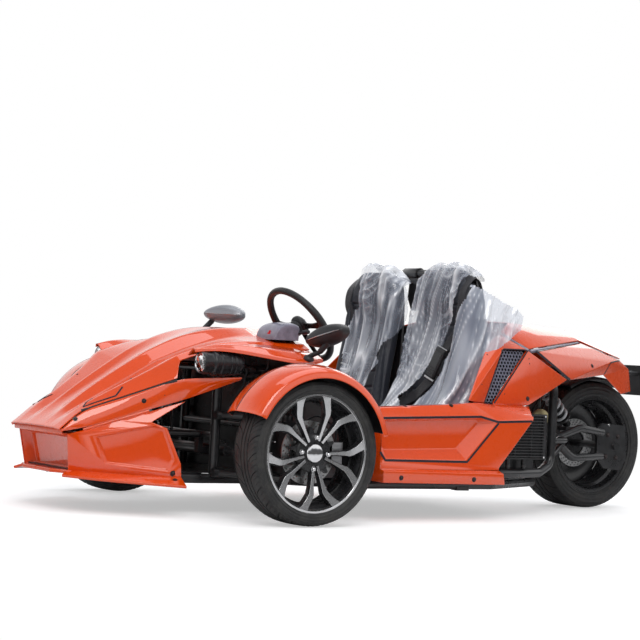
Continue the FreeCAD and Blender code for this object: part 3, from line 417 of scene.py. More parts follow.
def tyre_rubber():
    s = Shader("tyre_rubber")
    dust = s.ramp(s.noise(26.0, 8, 0.7), [(0.42, 0.0), (0.8, 1.0)])
    s.set(Base_Color=s.mix(dust, (0.014, 0.014, 0.015), (0.055, 0.052, 0.048)),
          Roughness=s.ramp(dust, [(0, 0.5), (1, 0.78)]))
    s.bump(s.noise(300.0, 4), 0.25, 0.0006)
    return s.mat


M = {
    "orange": orange_paint(),
    "black": satin_black(),
    "frame": satin_black("frame_paint", (0.009, 0.009, 0.010), (0.26, 0.42), 0.5),
    "plastic": plastic_black(),
    "line": plastic_black("pinstripe", (0.010, 0.009, 0.016), 0.35),
    "bolt": metal("bolt_black", (0.06, 0.05, 0.05), (0.28, 0.42), 0.8),
    "steel": metal("steel_parts", (0.55, 0.55, 0.56), (0.22, 0.4)),
    "zinc": metal("zinc_cast", (0.42, 0.42, 0.43), (0.35, 0.5), 0.9),
    "chrome": metal("chrome_parts", (0.85, 0.85, 0.86), (0.04, 0.1), bump=0.02),
    "alloy": metal("machined_face", (0.80, 0.80, 0.81), (0.16, 0.26), 1.0, 400.0, (1, 0.05, 1), 0.04),
    "pocket": plastic_black("wheel_pocket", (0.012, 0.012, 0.013), 0.28, 300.0),
    "tyre": tyre_rubber(),
    "disc": metal("brake_disc_face", (0.5, 0.5, 0.5), (0.25, 0.42), 1.0, 200.0),
    "engine": metal("cast_engine", (0.10, 0.10, 0.105), (0.45, 0.7), 0.7, 40.0, None, 0.3),
    "radiator": metal("radiator_fins", (0.10, 0.10, 0.105), (0.4, 0.6), 0.8, 90.0),
    "slot": shadow_black(),
    "mesh": plastic_black("mesh_grey", (0.115, 0.118, 0.160), 0.38),
    "spring": metal("spring_paint", (0.55, 0.56, 0.58), (0.25, 0.4), 0.15, 30.0),
}


def glass_like(name, color=(1, 1, 1), rough=0.02, ior=1.46):
    s = Shader(name)
    s.set(Base_Color=color, Roughness=s.ramp(s.noise(40.0, 3), [(0.3, rough), (0.8, rough * 2.0)]),
          Transmission_Weight=1.0, IOR=ior)
    return s.mat


def leather(name, color, grain=340.0, rough=(0.38, 0.52)):
    s = Shader(name)
    cells = s.node("ShaderNodeTexVoronoi", feature="DISTANCE_TO_EDGE")
    cells.inputs["Scale"].default_value = grain
    s.link(s.coords, cells.inputs["Vector"])
    creases = s.ramp(cells.outputs["Distance"], [(0.0, 0.0), (0.12, 1.0)])
    shade = s.noise(7.0, 5, 0.6)
    s.set(Base_Color=s.mix(shade, tuple(c * 0.75 for c in color), tuple(c * 1.25 for c in color)),
          Roughness=s.ramp(shade, [(0.2, rough[0]), (0.8, rough[1])]), Sheen_Weight=0.15, Sheen_Roughness=0.4)
    s.bump(creases, 0.22, 0.0005)
    s.bump(s.noise(28.0, 4), 0.12, 0.002)
    return s.mat


M["lamp"] = plastic_black("lamp_body", (0.012, 0.012, 0.014), 0.30, 700.0)
M["glass"] = glass_like("lamp_glass")
M["eye"] = glass_like("lamp_eye", (0.92, 0.95, 1.0), 0.01, 1.5)
M["silver"] = metal("mirror_back", (0.36, 0.37, 0.40), (0.28, 0.4), 0.35, 25.0)
M["mirror"] = metal("mirror_face", (0.9, 0.9, 0.92), (0.015, 0.04), 1.0, 8.0, None, 0.0)
M["leather_black"] = leather("grip_leather", (0.013, 0.013, 0.014), 600.0, (0.40, 0.55))
M["pod"] = plastic_black("pod_lilac", (0.18, 0.175, 0.225), 0.22, 300.0)
M["screen"] = plastic_black("pod_glass", (0.006, 0.007, 0.010), 0.10, 60.0)
M["red"] = plastic_black("red_plastic", (0.45, 0.005, 0.01), 0.3, 200.0)
M["hose"] = plastic_black("rubber_hose", (0.016, 0.016, 0.017), 0.6, 500.0)
M["brass"] = metal("horn_gold", (0.42, 0.36, 0.20), (0.25, 0.4), 0.9, 50.0)


def packing_film(name, thin, thick):
    """Thin cloudy film: see-through in the flats, with a streaky haze of its own; along its fold crests the
    ridge attribute paints a highlight that makes it whiter and less see-through. thin and thick give its
    cover.
    """
    s = Shader(name)
    streak = s.noise(6.5, 1.5, 0.45, 0.8, (1.0, 1.5, 0.20))
    crumple = s.noise(24.0, 1.5, 0.4, 0.9)
    ridge = s.node("ShaderNodeAttribute", attribute_name="ridge").outputs["Fac"]
    haze = s.ramp(streak, [(0.36, 0.0), (0.64, 0.45)])
    # haze is the film's own streaky cloud; the ridge attribute adds a painted highlight, white and more
    # opaque, on the crests of the folds.
    haze_and_glint = s.math("MINIMUM", s.math("ADD", haze, s.math("MULTIPLY", ridge, 0.9)), 1.0)
    s.set(Base_Color=s.mix(haze_and_glint, (0.46, 0.52, 0.66), (0.93, 0.95, 1.0)),
          Roughness=s.ramp(crumple, [(0.3, 0.10), (0.7, 0.22)]),
          Alpha=s.ramp(haze_and_glint, [(0.0, thin), (1.0, thick)]), IOR=1.55)
    s.set(Coat_Weight=1.0, Coat_Roughness=0.05, Coat_IOR=1.9)
    s.bump(crumple, 0.25, 0.005)
    s.bump(s.noise(34.0, 1.0, 0.4, 0.5, (1.0, 1.2, 0.3)), 0.10, 0.002)
    return s.mat


def webbing(name="belt_webbing"):
    s = Shader(name)
    weave = s.node("ShaderNodeTexWave", wave_type="BANDS", bands_direction="DIAGONAL")
    weave.inputs["Scale"].default_value = 260.0
    weave.inputs["Distortion"].default_value = 0.6
    s.link(s.coords, weave.inputs["Vector"])
    fluff = s.noise(45.0, 5)
    s.set(Base_Color=s.mix(fluff, (0.016, 0.016, 0.020), (0.034, 0.034, 0.040)),
          Roughness=s.ramp(fluff, [(0.2, 0.62), (0.8, 0.78)]), Sheen_Weight=0.4, Sheen_Roughness=0.4)
    s.bump(weave.outputs["Fac"], 0.35, 0.0006)
    return s.mat


M["seat"] = leather("seat_hide", (0.030, 0.034, 0.046), 420.0, (0.34, 0.5))
M["thread"] = plastic_black("seat_thread", (0.10, 0.105, 0.12), 0.6, 900.0)
M["film"] = packing_film("packing_film", 0.22, 0.88)
M["film_thick"] = packing_film("packing_film_doubled", 0.46, 0.95)
M["belt"] = webbing()

CAD_LOOK = {
    "orange_gloss": "orange", "frame_black": "frame", "tyre_rubber": "tyre", "machined_alloy": "alloy",
    "disc_steel": "disc", "knuckle_steel": "black", "spring_grey": "spring", "seat_leather": "black",
    "black_plastic": "plastic", "pod_grey": "plastic", "lamp_black": "plastic",
    "radiator_alloy": "radiator", "engine_iron": "engine",
}


def dress_cad():
    """Materials and softened edges on every CAD node that stays in view."""
    slots = {p["node"]: p["material_slot"] for p in frame["record"]["subparts"]}
    for name, obj in NODES.items():
        obj.data.materials.clear()
        obj.data.materials.append(M[CAD_LOOK[slots[name]]])
        soften(obj, 0.0012 if "panel" not in name else 0.002)


# ---------------------------------------------------------------- stage, light, camera
def stage_and_camera():
    scene = bpy.context.scene
    floor = Geo().lathe([(0.001, 0), (14.0, 0)], (0, 0, -0.0005), (0, 0, 1), 64, close=False).build(
        "stage_floor", floor_material(), None, None, ride=False)
    cam_data = bpy.data.cameras.new("camera")
    cam = bpy.data.objects.new("camera", cam_data)
    scene.collection.objects.link(cam)
    look, right, up = Vector(CAM_LOOK), Vector(CAM_RIGHT), Vector(CAM_UP)
    cam.matrix_world = Matrix((( right.x, up.x, -look.x, CAM_POS[0]),
                               (right.y, up.y, -look.y, CAM_POS[1]),
                               (right.z, up.z, -look.z, CAM_POS[2]), (0, 0, 0, 1)))
    cam_data.sensor_width = 36.0
    cam_data.lens = CAM_LENS
    cam_data.clip_end = 200
    scene.camera = cam
    scene.view_settings.view_transform = "Standard"
    for name, place, size, power, tint in LIGHTS:
        data = bpy.data.lights.new(name, "AREA")
        data.shape = "RECTANGLE"
        data.size, data.size_y = size
        data.energy = power
        data.color = tint
        lamp = bpy.data.objects.new(name, data)
        lamp.location = place
        lamp.rotation_euler = (Vector((0, 0, 0.35)) - Vector(place)).to_track_quat("-Z", "Y").to_euler()
        scene.collection.objects.link(lamp)
    world = bpy.data.worlds.new("sky")
    scene.world = world
    world.use_nodes = True
    tree = world.node_tree
    tree.nodes.clear()
    out = tree.nodes.new("ShaderNodeOutputWorld")
    path = tree.nodes.new("ShaderNodeLightPath")
    coords = tree.nodes.new("ShaderNodeTexCoord")
    split = tree.nodes.new("ShaderNodeSeparateXYZ")
    stretch = tree.nodes.new("ShaderNodeMapRange")
    stretch.inputs["From Min"].default_value = -1.0
    tree.links.new(coords.outputs["Generated"], split.inputs[0])
    tree.links.new(split.outputs["Z"], stretch.inputs["Value"])
    ragged = tree.nodes.new("ShaderNodeTexNoise")
    ragged.inputs["Scale"].default_value = 2.6
    ragged.inputs["Detail"].default_value = 3.0
    tree.links.new(coords.outputs["Generated"], ragged.inputs["Vector"])
    shift = tree.nodes.new("ShaderNodeMath")
    shift.operation = "MULTIPLY_ADD"
    shift.inputs[1].default_value = -TREE_LINE * 2
    tree.links.new(ragged.outputs[0], shift.inputs[0])
    tree.links.new(stretch.outputs[0], shift.inputs[2])
    lifted = tree.nodes.new("ShaderNodeMath")
    lifted.inputs[1].default_value = TREE_LINE * 0.75
    tree.links.new(shift.outputs[0], lifted.inputs[0])
    wander = lifted.outputs[0]
    glow = []
    for stops in (SKY, SHINE, ((0.0, (1, 1, 1)),)):
        back = tree.nodes.new("ShaderNodeBackground")
        ramp = tree.nodes.new("ShaderNodeValToRGB")
        for element in ramp.color_ramp.elements[1:]:
            ramp.color_ramp.elements.remove(element)
        for k, (pos, value) in enumerate(stops):
            element = ramp.color_ramp.elements.new(pos) if k else ramp.color_ramp.elements[0]
            element.position, element.color = pos, (*value, 1)
        tree.links.new(wander if stops is SHINE else stretch.outputs[0], ramp.inputs[0])
        tree.links.new(ramp.outputs[0], back.inputs[0])
        glow.append(back.outputs[0])
    seen = tree.nodes.new("ShaderNodeMath")
    seen.operation = "MAXIMUM"
    tree.links.new(path.outputs["Is Camera Ray"], seen.inputs[0])
    tree.links.new(path.outputs["Is Transmission Ray"], seen.inputs[1])
    light = glow[0]
    for fac, shown in ((path.outputs["Is Glossy Ray"], glow[1]), (seen.outputs[0], glow[2])):
        mix = tree.nodes.new("ShaderNodeMixShader")
        tree.links.new(fac, mix.inputs[0])
        tree.links.new(light, mix.inputs[1])
        tree.links.new(shown, mix.inputs[2])
        light = mix.outputs[0]
    tree.links.new(light, out.inputs[0])


def floor_material():
    """Pale ground that fades out, so that no horizon shows. Outside the shadow it looks white."""
    s = Shader("pale_floor")
    s.set(Base_Color=s.mix(s.noise(1.5, 3), (0.72, 0.72, 0.72), (0.76, 0.76, 0.76)), Roughness=0.8)
    s.bump(s.noise(60.0, 4), 0.05, 0.001)
    split = s.node("ShaderNodeSeparateXYZ")
    s.link(s.coords, split.inputs[0])
    far = s.math("SQRT", s.math("ADD", s.math("POWER", split.outputs[0], 2.0),
                                s.math("POWER", split.outputs[1], 2.0)))
    fade = s.ramp(s.math("DIVIDE", far, 6.0), [(0.33, 0.0), (0.75, 1.0)], "EASE")
    clear = s.node("ShaderNodeBsdfTransparent")
    lift = s.node("ShaderNodeEmission")
    path = s.node("ShaderNodeLightPath")
    seen = s.math("MAXIMUM", path.outputs["Is Camera Ray"], path.outputs["Is Transmission Ray"])
    s.link(s.math("MULTIPLY", seen, FLOOR_LIFT), lift.inputs["Strength"])
    plus = s.node("ShaderNodeAddShader")
    s.link(s.bsdf.outputs[0], plus.inputs[0])
    s.link(lift.outputs[0], plus.inputs[1])
    mix = s.node("ShaderNodeMixShader")
    s.link(fade, mix.inputs[0])
    s.link(plus.outputs[0], mix.inputs[1])
    s.link(clear.outputs[0], mix.inputs[2])
    s.link(mix.outputs[0], s.out.inputs[0])
    return s.mat


CAM_LENS = 106.9    # mm, with Blender's 36 mm sensor
CAM_POS = (4.700, 6.559, 0.624)
CAM_LOOK = (-0.5596, -0.8285, 0.0191)
CAM_RIGHT = (-0.8270, 0.5598, 0.0524)
CAM_UP = (0.0542, -0.0135, 0.9984)
LIGHTS = [   # name, place, size, power, colour
    ("light_key", (3.0, 4.5, 5.0), (3.5, 3.5), 150, (1.0, 0.99, 0.97)),
    ("light_top", (-0.5, 0.0, 6.0), (6.0, 5.0), 120, (0.97, 0.98, 1.0)),
    ("light_back", (-5.0, -4.0, 3.5), (4.0, 3.0), 70, (1.0, 1.0, 1.0)),
]
FLOOR_LIFT = 0.45
SKY = [(0.0, (0.30, 0.30, 0.30)), (0.47, (0.28, 0.28, 0.28)), (0.55, (0.42, 0.42, 0.43)),
       (0.75, (0.58, 0.59, 0.61)), (1.0, (0.68, 0.70, 0.73))]
SHINE = [(0.0, (0.10, 0.10, 0.10)), (0.49, (0.10, 0.10, 0.10)), (0.54, (0.15, 0.15, 0.16)),
         (0.575, (0.85, 0.86, 0.88)), (0.61, (1.0, 1.0, 1.0)), (0.73, (0.95, 0.95, 0.96)),
         (0.84, (0.28, 0.29, 0.31)), (1.0, (0.22, 0.23, 0.25))]
TREE_LINE = 0.10    # how far the edge between ground and sky wanders in reflections

# ---------------------------------------------------------------- helpers for body panels
def mm(x, y, z):
    return Vector((x, y, z)) / 1000.0


def flip_y(p):
    return Vector((p.x, -p.y, p.z))


def surface_tree(obj):
    """A search tree over the finished mesh of obj, with its modifiers."""
    graph = bpy.context.evaluated_depsgraph_get()
    return BVHTree.FromObject(obj, graph)


def on_surface(tree, point, outward):
    """Nearest place on the panel and its outward normal."""
    place, normal, _, _ = tree.find_nearest(Vector(point))
    if normal.dot(Vector(outward)) < 0:
        normal = -normal
    return place, normal


def walk(points, step=0.012):
    """Evenly spaced points along a row of straight runs."""
    out = []
    points = [Vector(p) for p in points]
    for a, b in zip(points, points[1:]):
        count = max(1, round((b - a).length / step))
        out += [a.lerp(b, i / count) for i in range(count)]
    return out + [points[-1]]


def ribbon(geo, places, normals, width, height):
    """Thin raised strip along places, with its top rounded down to the panel."""
    rows = []
    for i, (p, n) in enumerate(zip(places, normals)):
        ahead = (places[min(i + 1, len(places) - 1)] - places[max(i - 1, 0)]).normalized()
        side = ahead.cross(n).normalized()
        rows.append([p - side * width * 0.5 - n * 0.0012, p - side * width * 0.5 + n * height * 0.6,
                     p - side * width * 0.3 + n * height, p + side * width * 0.3 + n * height,
                     p + side * width * 0.5 + n * height * 0.6, p + side * width * 0.5 - n * 0.0012])
    return geo.grid(rows)


def stripe(geo, tree, points, outward, width=0.008, height=0.0009, step=0.012):
    found = [on_surface(tree, p, outward) for p in walk(points, step)]
    return ribbon(geo, [f[0] for f in found], [f[1] for f in found], width, height)


def bolts_on(geo, tree, points, outward, r=0.006):
    for point in points:
        place, normal = on_surface(tree, point, outward)
        geo.bolt(place, normal, r)
    return geo


def crease_edges(obj, test):
    """Sets subdivision creases: test(a, b) gives the sharpness of the edge between points a and b."""
    data = obj.data
    attribute = data.attributes.new("crease_edge", "FLOAT", "EDGE")
    values = []
    for edge in data.edges:
        a, b = edge.vertices
        values.append(test(a, b))
    attribute.data.foreach_set("value", values)


def crease_points(obj, values):
    attribute = obj.data.attributes.new("crease_vert", "FLOAT", "POINT")
    attribute.data.foreach_set("value", values)


def subdivided_skin(name, rows, body, nodes, column_crease, row_crease=None, corners=(), mat="orange",
                    levels=3, thickness=0.005, inward=-1.0, away=None):
    """Smooth panel over rows of points, sharp along the columns and rows that are named."""
    row_crease = row_crease or {}
    geo = Geo().grid(rows)
    if away is not None:
        total = 0.0
        for a, b, c, d in geo.f:
            pa, pb, pc, pd = (geo.v[i] for i in (a, b, c, d))
            total += (pc - pa).cross(pd - pb).dot((pa + pc) / 2 - Vector(away))
        if total < 0:
            geo.f = [face[::-1] for face in geo.f]
    obj = geo.build(name, M[mat], body, "orange_gloss", nodes, angle=0)
    n = len(rows[0])
    last_row, last_col = len(rows) - 1, n - 1

    def sharp(a, b):
        ra, ca, rb, cb = a // n, a % n, b // n, b % n
        if ca == cb:
            return 1.0 if ca in (0, last_col) else column_crease.get(ca, 0.0)
        if ra == rb:
            return 1.0 if ra in (0, last_row) else row_crease.get(ra, 0.0)
        return 0.0

    crease_edges(obj, sharp)
    points = [0.0] * len(geo.v)
    for corner in [(0, 0), (0, last_col), (last_row, 0), (last_row, last_col), *corners]:
        points[corner[0] * n + corner[1]] = 1.0
    crease_points(obj, points)
    smooth(obj.data)
    modifier(obj, "SUBSURF", levels=levels, render_levels=levels, boundary_smooth="PRESERVE_CORNERS")
    modifier(obj, "SOLIDIFY", thickness=thickness, offset=inward, use_rim=True, use_even_offset=True)
    modifier(obj, "BEVEL", width=0.0014, segments=2, limit_method="ANGLE", angle_limit=math.radians(50))
    return obj


def plated(name, polygons, body, nodes, mat="orange", thickness=0.005, bevel=0.003, weld=0.0004, offset=-1.0):
    """Flat faces joined into one panel, thickened inward, with softly rounded edges."""
    geo = Geo()
    for polygon in polygons:
        geo.add(polygon, [tuple(range(len(polygon)))])
    obj = geo.build(name, M[mat], body, "orange_gloss", nodes, angle=0)
    smooth(obj.data)
    modifier(obj, "WELD", merge_threshold=weld)
    if thickness:
        modifier(obj, "SOLIDIFY", thickness=thickness, offset=offset, use_rim=True, use_even_offset=True)
    modifier(obj, "BEVEL", width=bevel, segments=3, limit_method="ANGLE", angle_limit=math.radians(8),
             harden_normals=False)
    return obj


def with_hole(outer, hole):
    """Triangles that fill outer but not hole."""
    points = list(outer) + list(hole)
    return [[points[i] for i in tri] for tri in tessellate_polygon([list(outer), list(hole)])]


def facing(polygons, outward):
    """The polygons, each turned so that it faces outward."""
    out = []
    for polygon in polygons:
        normal = sum(((polygon[i] - polygon[0]).cross(polygon[i + 1] - polygon[0])
                      for i in range(1, len(polygon) - 1)), Vector())
        out.append(list(polygon) if normal.dot(outward) > 0 else list(polygon)[::-1])
    return out


# ---------------------------------------------------------------- hood, strips, brows, scuttle
HOOD = [   # columns: x, then y and z of centre, ridge, channel, shoulder and edge
    (1548, (0, 312), (60, 312), (110, 311), (165, 310), (207, 306)),
    (1500, (0, 345), (62, 348), (110, 344), (165, 350), (206, 345)),
    (1457, (0, 372), (62, 386), (108, 370), (165, 388), (204, 384)),
    (1349, (0, 440), (66, 470), (118, 436), (205, 455), (257, 426)),
    (1237, (0, 512), (75, 545), (135, 503), (265, 525), (317, 476)),
    (1150, (0, 572), (82, 600), (150, 558), (320, 588), (370, 515)),
    (1130, (0, 585), (84, 612), (153, 570), (325, 600), (345, 582)),
    (1020, (0, 652), (92, 668), (175, 623), (318, 640), (342, 615)),
    (900, (0, 695), (100, 705), (190, 663), (318, 664), (345, 650)),
    (780, (0, 712), (110, 722), (200, 688), (320, 670), (350, 655)),
    (706, (0, 716), (115, 722), (205, 690), (325, 668), (360, 652))]
STRIP = [   # columns: x, y and z of the top edge, y and z of the bottom edge
    (1540, 213, 303, 211, 297), (1457, 211, 379, 232, 314), (1349, 264, 420, 281, 353),
    (1237, 324, 470, 331, 394), (1150, 377, 509, 370, 425), (1105, 389, 517, 386, 441),
    (905, 434, 529, 427, 518)]
BROW = [   # columns: x, then y and z of the inner edge, the crest and the outer edge
    (1098, (352, 606), (385, 630), (402, 628)), (1020, (350, 622), (405, 652), (440, 640)),
    (900, (353, 656), (425, 656), (472, 628)), (754, (362, 660), (450, 640), (505, 607)),
    (650, (374, 652), (465, 632), (520, 598)), (562, (382, 640), (430, 629), (468, 614))]
BOLT_GEO = Geo()
LINE_GEO = Geo()


def hood():
    rows = []
    for x, *section in HOOD:
        left = [mm(x, y, z) for y, z in section]
        rows.append([flip_y(p) for p in left[:0:-1]] + left)
    obj = subdivided_skin("hood_shell", rows, CHASSIS, "hood",
                          {1: 0.7, 2: 0.75, 3: 0.7, 5: 0.7, 6: 0.75, 7: 0.7},
                          {1: 0.2, 5: 0.5, 6: 0.5}, corners=[(5, 0), (5, 8), (6, 0), (6, 8)], levels=3,
                          away=(1.0, 0, 0.2))
    studs = Geo()
    for x in (1350, 1060):
        for side in (-1, 1):
            top = 0.445 if x > 1200 else 0.60
            studs.rod((x / 1000, side * 0.19, 0.3133), (x / 1000, side * 0.19, top), 0.005)
    studs.build("hood_studs", M["frame"], CHASSIS, "frame_black")
    tree = surface_tree(obj)
    for side in (1, -1):
        def s(x, y, z):
            return mm(x, side * y, z)
        up = (0.2, 0.3 * side, 1)
        for line, width in (([s(1452, 196, 390), s(1345, 254, 430), s(1262, 222, 492)], 0.007),
                            ([s(1452, 196, 390), s(1425, 175, 402), s(1400, 168, 417)], 0.006)):
            stripe(LINE_GEO, tree, [p + Vector((0, 0, 0.012)) for p in line], up, width, 0.0018, 0.006)
    return obj


def strips():
    for side, word in SIDES:
        rows = []
        for x, y0, z0, y1, z1 in STRIP:
            top, low = mm(x, side * y0, z0), mm(x, side * y1, z1)
            middle = top.lerp(low, 0.5) + Vector((0, side * 0.006, 0.002))
            rows.append([top, middle, low] if side > 0 else [low, middle, top])
        obj = subdivided_skin(f"{word}_strip_shell", rows, CHASSIS, f"{word}_hood_strip", {1: 0.15},
                              {1: 0.2}, levels=2, away=(1.2, side * 0.1, 0.3))
        arm = arc_points([mm(1237, side * 324, 430), mm(1237, side * 190, 430),
                          mm(1237, side * 190, 314)], 0.02)
        Geo().tube(arm, 0.005).build(f"{word}_strip_arm", M["frame"], CHASSIS, "frame_black")
        tree = surface_tree(obj)
        bolts_on(BOLT_GEO, tree, [mm(1487, side * 219, 346), mm(1188, side * 350, 449),
                                  mm(1258, side * 320, 424)],
                 (0, side, 0.2), 0.0058)


def brows():
    for side, word in SIDES:
        rows = []
        for x, *section in BROW:
            row = [mm(x, side * y, z) for y, z in section]
            lip = row[-1] + Vector((0, side * 0.002, -0.012))
            rows.append((row + [lip]) if side > 0 else (row + [lip])[::-1])
        crease = {1: 0.45, 2: 0.8} if side > 0 else {2: 0.45, 1: 0.8}
        subdivided_skin(f"{word}_brow_shell", rows, CHASSIS, f"{word}_brow", crease, levels=3,
                        away=(0.8, side * 0.4, 0.3))
        arm = arc_points([mm(760, side * 385, 645), mm(760, side * 385, 560), mm(760, side * 311.3, 560)],
                         0.02)
        Geo().tube(arm, 0.005).build(f"{word}_brow_arm", M["frame"], CHASSIS, "frame_black")


# ---------------------------------------------------------------- seams
HOOD_SEAM = [(1457, 204, 375), (1349, 257, 417), (1237, 317, 467), (1150, 370, 506)]
NOSE_SEAM = [(1457, 227, 307), (1349, 275, 347), (1237, 325, 388)]
MOUTH_LIP = [(1535, 309), (1532, 286), (1508, 287)]   # x and z down the lip's face and back under it


def seams():
    """Rubber and painted fillers behind the joints between the hood, its side strips and the nose."""
    for side, word in SIDES:
        rubber = Geo().tube([mm(x, side * y, z) for x, y, z in HOOD_SEAM], 0.006)
        rubber.build(f"{word}_hood_seam", M["hose"], CHASSIS, "black_plastic")
        painted = Geo().tube([mm(x, side * y, z) for x, y, z in NOSE_SEAM], 0.006)
        painted.build(f"{word}_nose_seam", M["orange"], CHASSIS, "orange_gloss")
    faces = [[mm(a[0], -204, a[1]), mm(a[0], 204, a[1]), mm(b[0], 204, b[1]), mm(b[0], -204, b[1])]
             for a, b in zip(MOUTH_LIP, MOUTH_LIP[1:])]
    plated("mouth_lip", facing(faces, Vector((1, 0, -0.6))), CHASSIS, (), thickness=0.003, bevel=0.001)


# ---------------------------------------------------------------- nose
NOSE = [    # x, y, z, in order round the wall's outer face
    (1512, 208, 288), (1490, 188, 141), (1140, 424, 141), (1143, 420, 197), (1185, 378, 327),
    (1237, 350, 347), (1112, 378, 430), (1237, 327, 385), (1349, 276, 346), (1457, 228, 306)]
WING = [    # inner edge x, y, z and outer edge x, y, z
    (1496, 180, 153, 1526, 210, 138), (1400, 250, 152, 1420, 305, 131),
    (1300, 322, 150, 1300, 395, 126), (1138, 420, 148, 1150, 485, 120)]
LIP = [(1532, 0), (1532, 120), (1506, 160), (1500, 196), (1470, 196), (1470, 0)]


def nose():
    for side, word in SIDES:
        def s(x, y, z):
            return mm(x, side * y, z)
        outward = Vector((0.45, side, 0.0))
        pts = [s(*p) for p in NOSE]
        wall = [pts[0], pts[1], pts[2], pts[3], pts[4], pts[5], pts[8], pts[9]]

        def at(x, z):
            """Point of the wall at x and height z, between its foot line and its top line."""
            foot_y, top_y = 188 + 236 * (1490 - x) / 350, 208 + 142 * (1512 - x) / 275
            top_z = 288 + 59 * (1512 - x) / 275
            return s(x, foot_y + (top_y - foot_y) * (z - 141) / (top_z - 141), z)

        ring = [at(1417, 283), at(1380, 186), at(1180, 168), at(1160, 210), at(1192, 322), at(1230, 336)]
        centre = sum(ring, Vector()) / len(ring)
        inner = [p + (centre - p).normalized() * 0.011 - outward.normalized() * 0.007 for p in ring]
        faces = with_hole(wall, ring)
        faces += [[ring[i], ring[(i + 1) % 6], inner[(i + 1) % 6], inner[i]] for i in range(6)]
        faces += [[centre - outward.normalized() * 0.007, inner[i], inner[(i + 1) % 6]] for i in range(6)]
        faces += [[pts[5], pts[6], pts[7]], [pts[5], pts[7], pts[8]]]
        faces = facing(faces, outward)
        plated(f"{word}_nose_wall", faces, CHASSIS, "nose", bevel=0.0022)
        rows = [[s(*w[:3]), s(*(a * 0.5 + b * 0.5 for a, b in zip(w[:3], w[3:]))), s(*w[3:])] for w in WING]
        rows = rows if side > 0 else [r[::-1] for r in rows]
        wing = subdivided_skin(f"{word}_nose_wing", rows, CHASSIS, (), {1: 0.3}, {1: 0.7}, levels=2,
                               thickness=0.010, away=(1.3, side * 0.3, 0.0))
        lip = [s(x, y, 154) for x, y in LIP]
        geo = Geo().prism(lip, (0, 0, -0.014))
        soften(geo.build(f"{word}_splitter", M["orange"], CHASSIS, "orange_gloss", angle=0), 0.004, 3)
        tree = surface_tree(wing)
        bolts_on(BOLT_GEO, tree, [s(1170, 430, 148)], (0, 0, 1), 0.006)
        Geo().bolt(at(1165, 160), outward, 0.0075).build(f"{word}_nose_bolt", M["bolt"],
                                                         CHASSIS, "frame_black")
    back = [mm(1508, -204, 288), mm(1486, -186, 146), mm(1486, 186, 146), mm(1508, 204, 288)]
    hollow = [p + Vector((-0.035, 0.0, 0.0)) for p in back]
    hollow = [Vector((p.x, p.y * 0.86, 0.217 + (p.z - 0.217) * 0.80)) for p in hollow]
    faces = [[back[i], back[(i + 1) % 4], hollow[(i + 1) % 4], hollow[i]] for i in range(4)] + [hollow]
    plated("mouth_back", facing(faces, Vector((1, 0, 0))), CHASSIS, "nose", mat="orange", bevel=0.004)


# ---------------------------------------------------------------- fenders
FENDER = [   # share of the width, height over the tread
    (0.0, 8), (0.02, 38), (0.20, 53), (0.41, 61), (0.66, 58), (0.90, 46), (0.975, 33), (1.0, 10)]


def fenders():
    for side, word in SIDES:
        rows = []
        for step in range(15):
            angle = math.radians(26 + 140 * step / 14)
            row = []
            for across, over in FENDER:
                r = 269 + over
                row.append(mm(800 + r * math.cos(angle), side * (612 + across * 240),
                              269 + r * math.sin(angle)))
            rows.append(row if side < 0 else row[::-1])
        creases = {1: 0.35, 3: 0.75, 5: 0.25, 6: 0.4}
        if side > 0:
            creases = {7 - k: v for k, v in creases.items()}
        obj = subdivided_skin(f"{word}_fender_shell", rows, f"front_{word}_knuckle",
                              f"front_{word}_fender", creases,
                              levels=2, thickness=0.004, away=(0.8, side * 0.73, 0.269))
        # The shell's inner face takes the black plastic, so the fender is black underneath.
        obj.data.materials.append(M["plastic"])
        obj.modifiers["solidify"].material_offset = 1
        tree = surface_tree(obj)
        line = [mm(800 + 330 * math.cos(a), side * (612 + 0.41 * 240), 269 + 330 * math.sin(a))
                for a in (math.radians(26.6 + 138.8 * i / 60) for i in range(61))]
        geo = Geo()
        found = [on_surface(tree, p, p - mm(800, p.y * 1000, 269)) for p in line]
        ribbon(geo, [f[0] for f in found], [f[1] for f in found], 0.0045, 0.0007)
        geo.build(f"{word}_fender_line", M["line"], f"front_{word}_knuckle", "frame_black")
        stays = Geo()
        for dx in (-45, 45):
            stays.tube(arc_points([mm(800 + dx, side * 637, 345), mm(800 + dx, side * 637, 560),
                                   mm(800 + dx * 1.02, side * 700, 588)], 0.03), 0.006)
            stays.bolt(mm(800 + dx, side * 640, 352), (0, side, 0), 0.006)
        stays.box(0.75, 0.85, *sorted((side * 0.6323, side * 0.640)), 0.339, 0.375)
        soften(stays.build(f"{word}_fender_stay", M["frame"], f"front_{word}_knuckle", "frame_black"), 0.001)


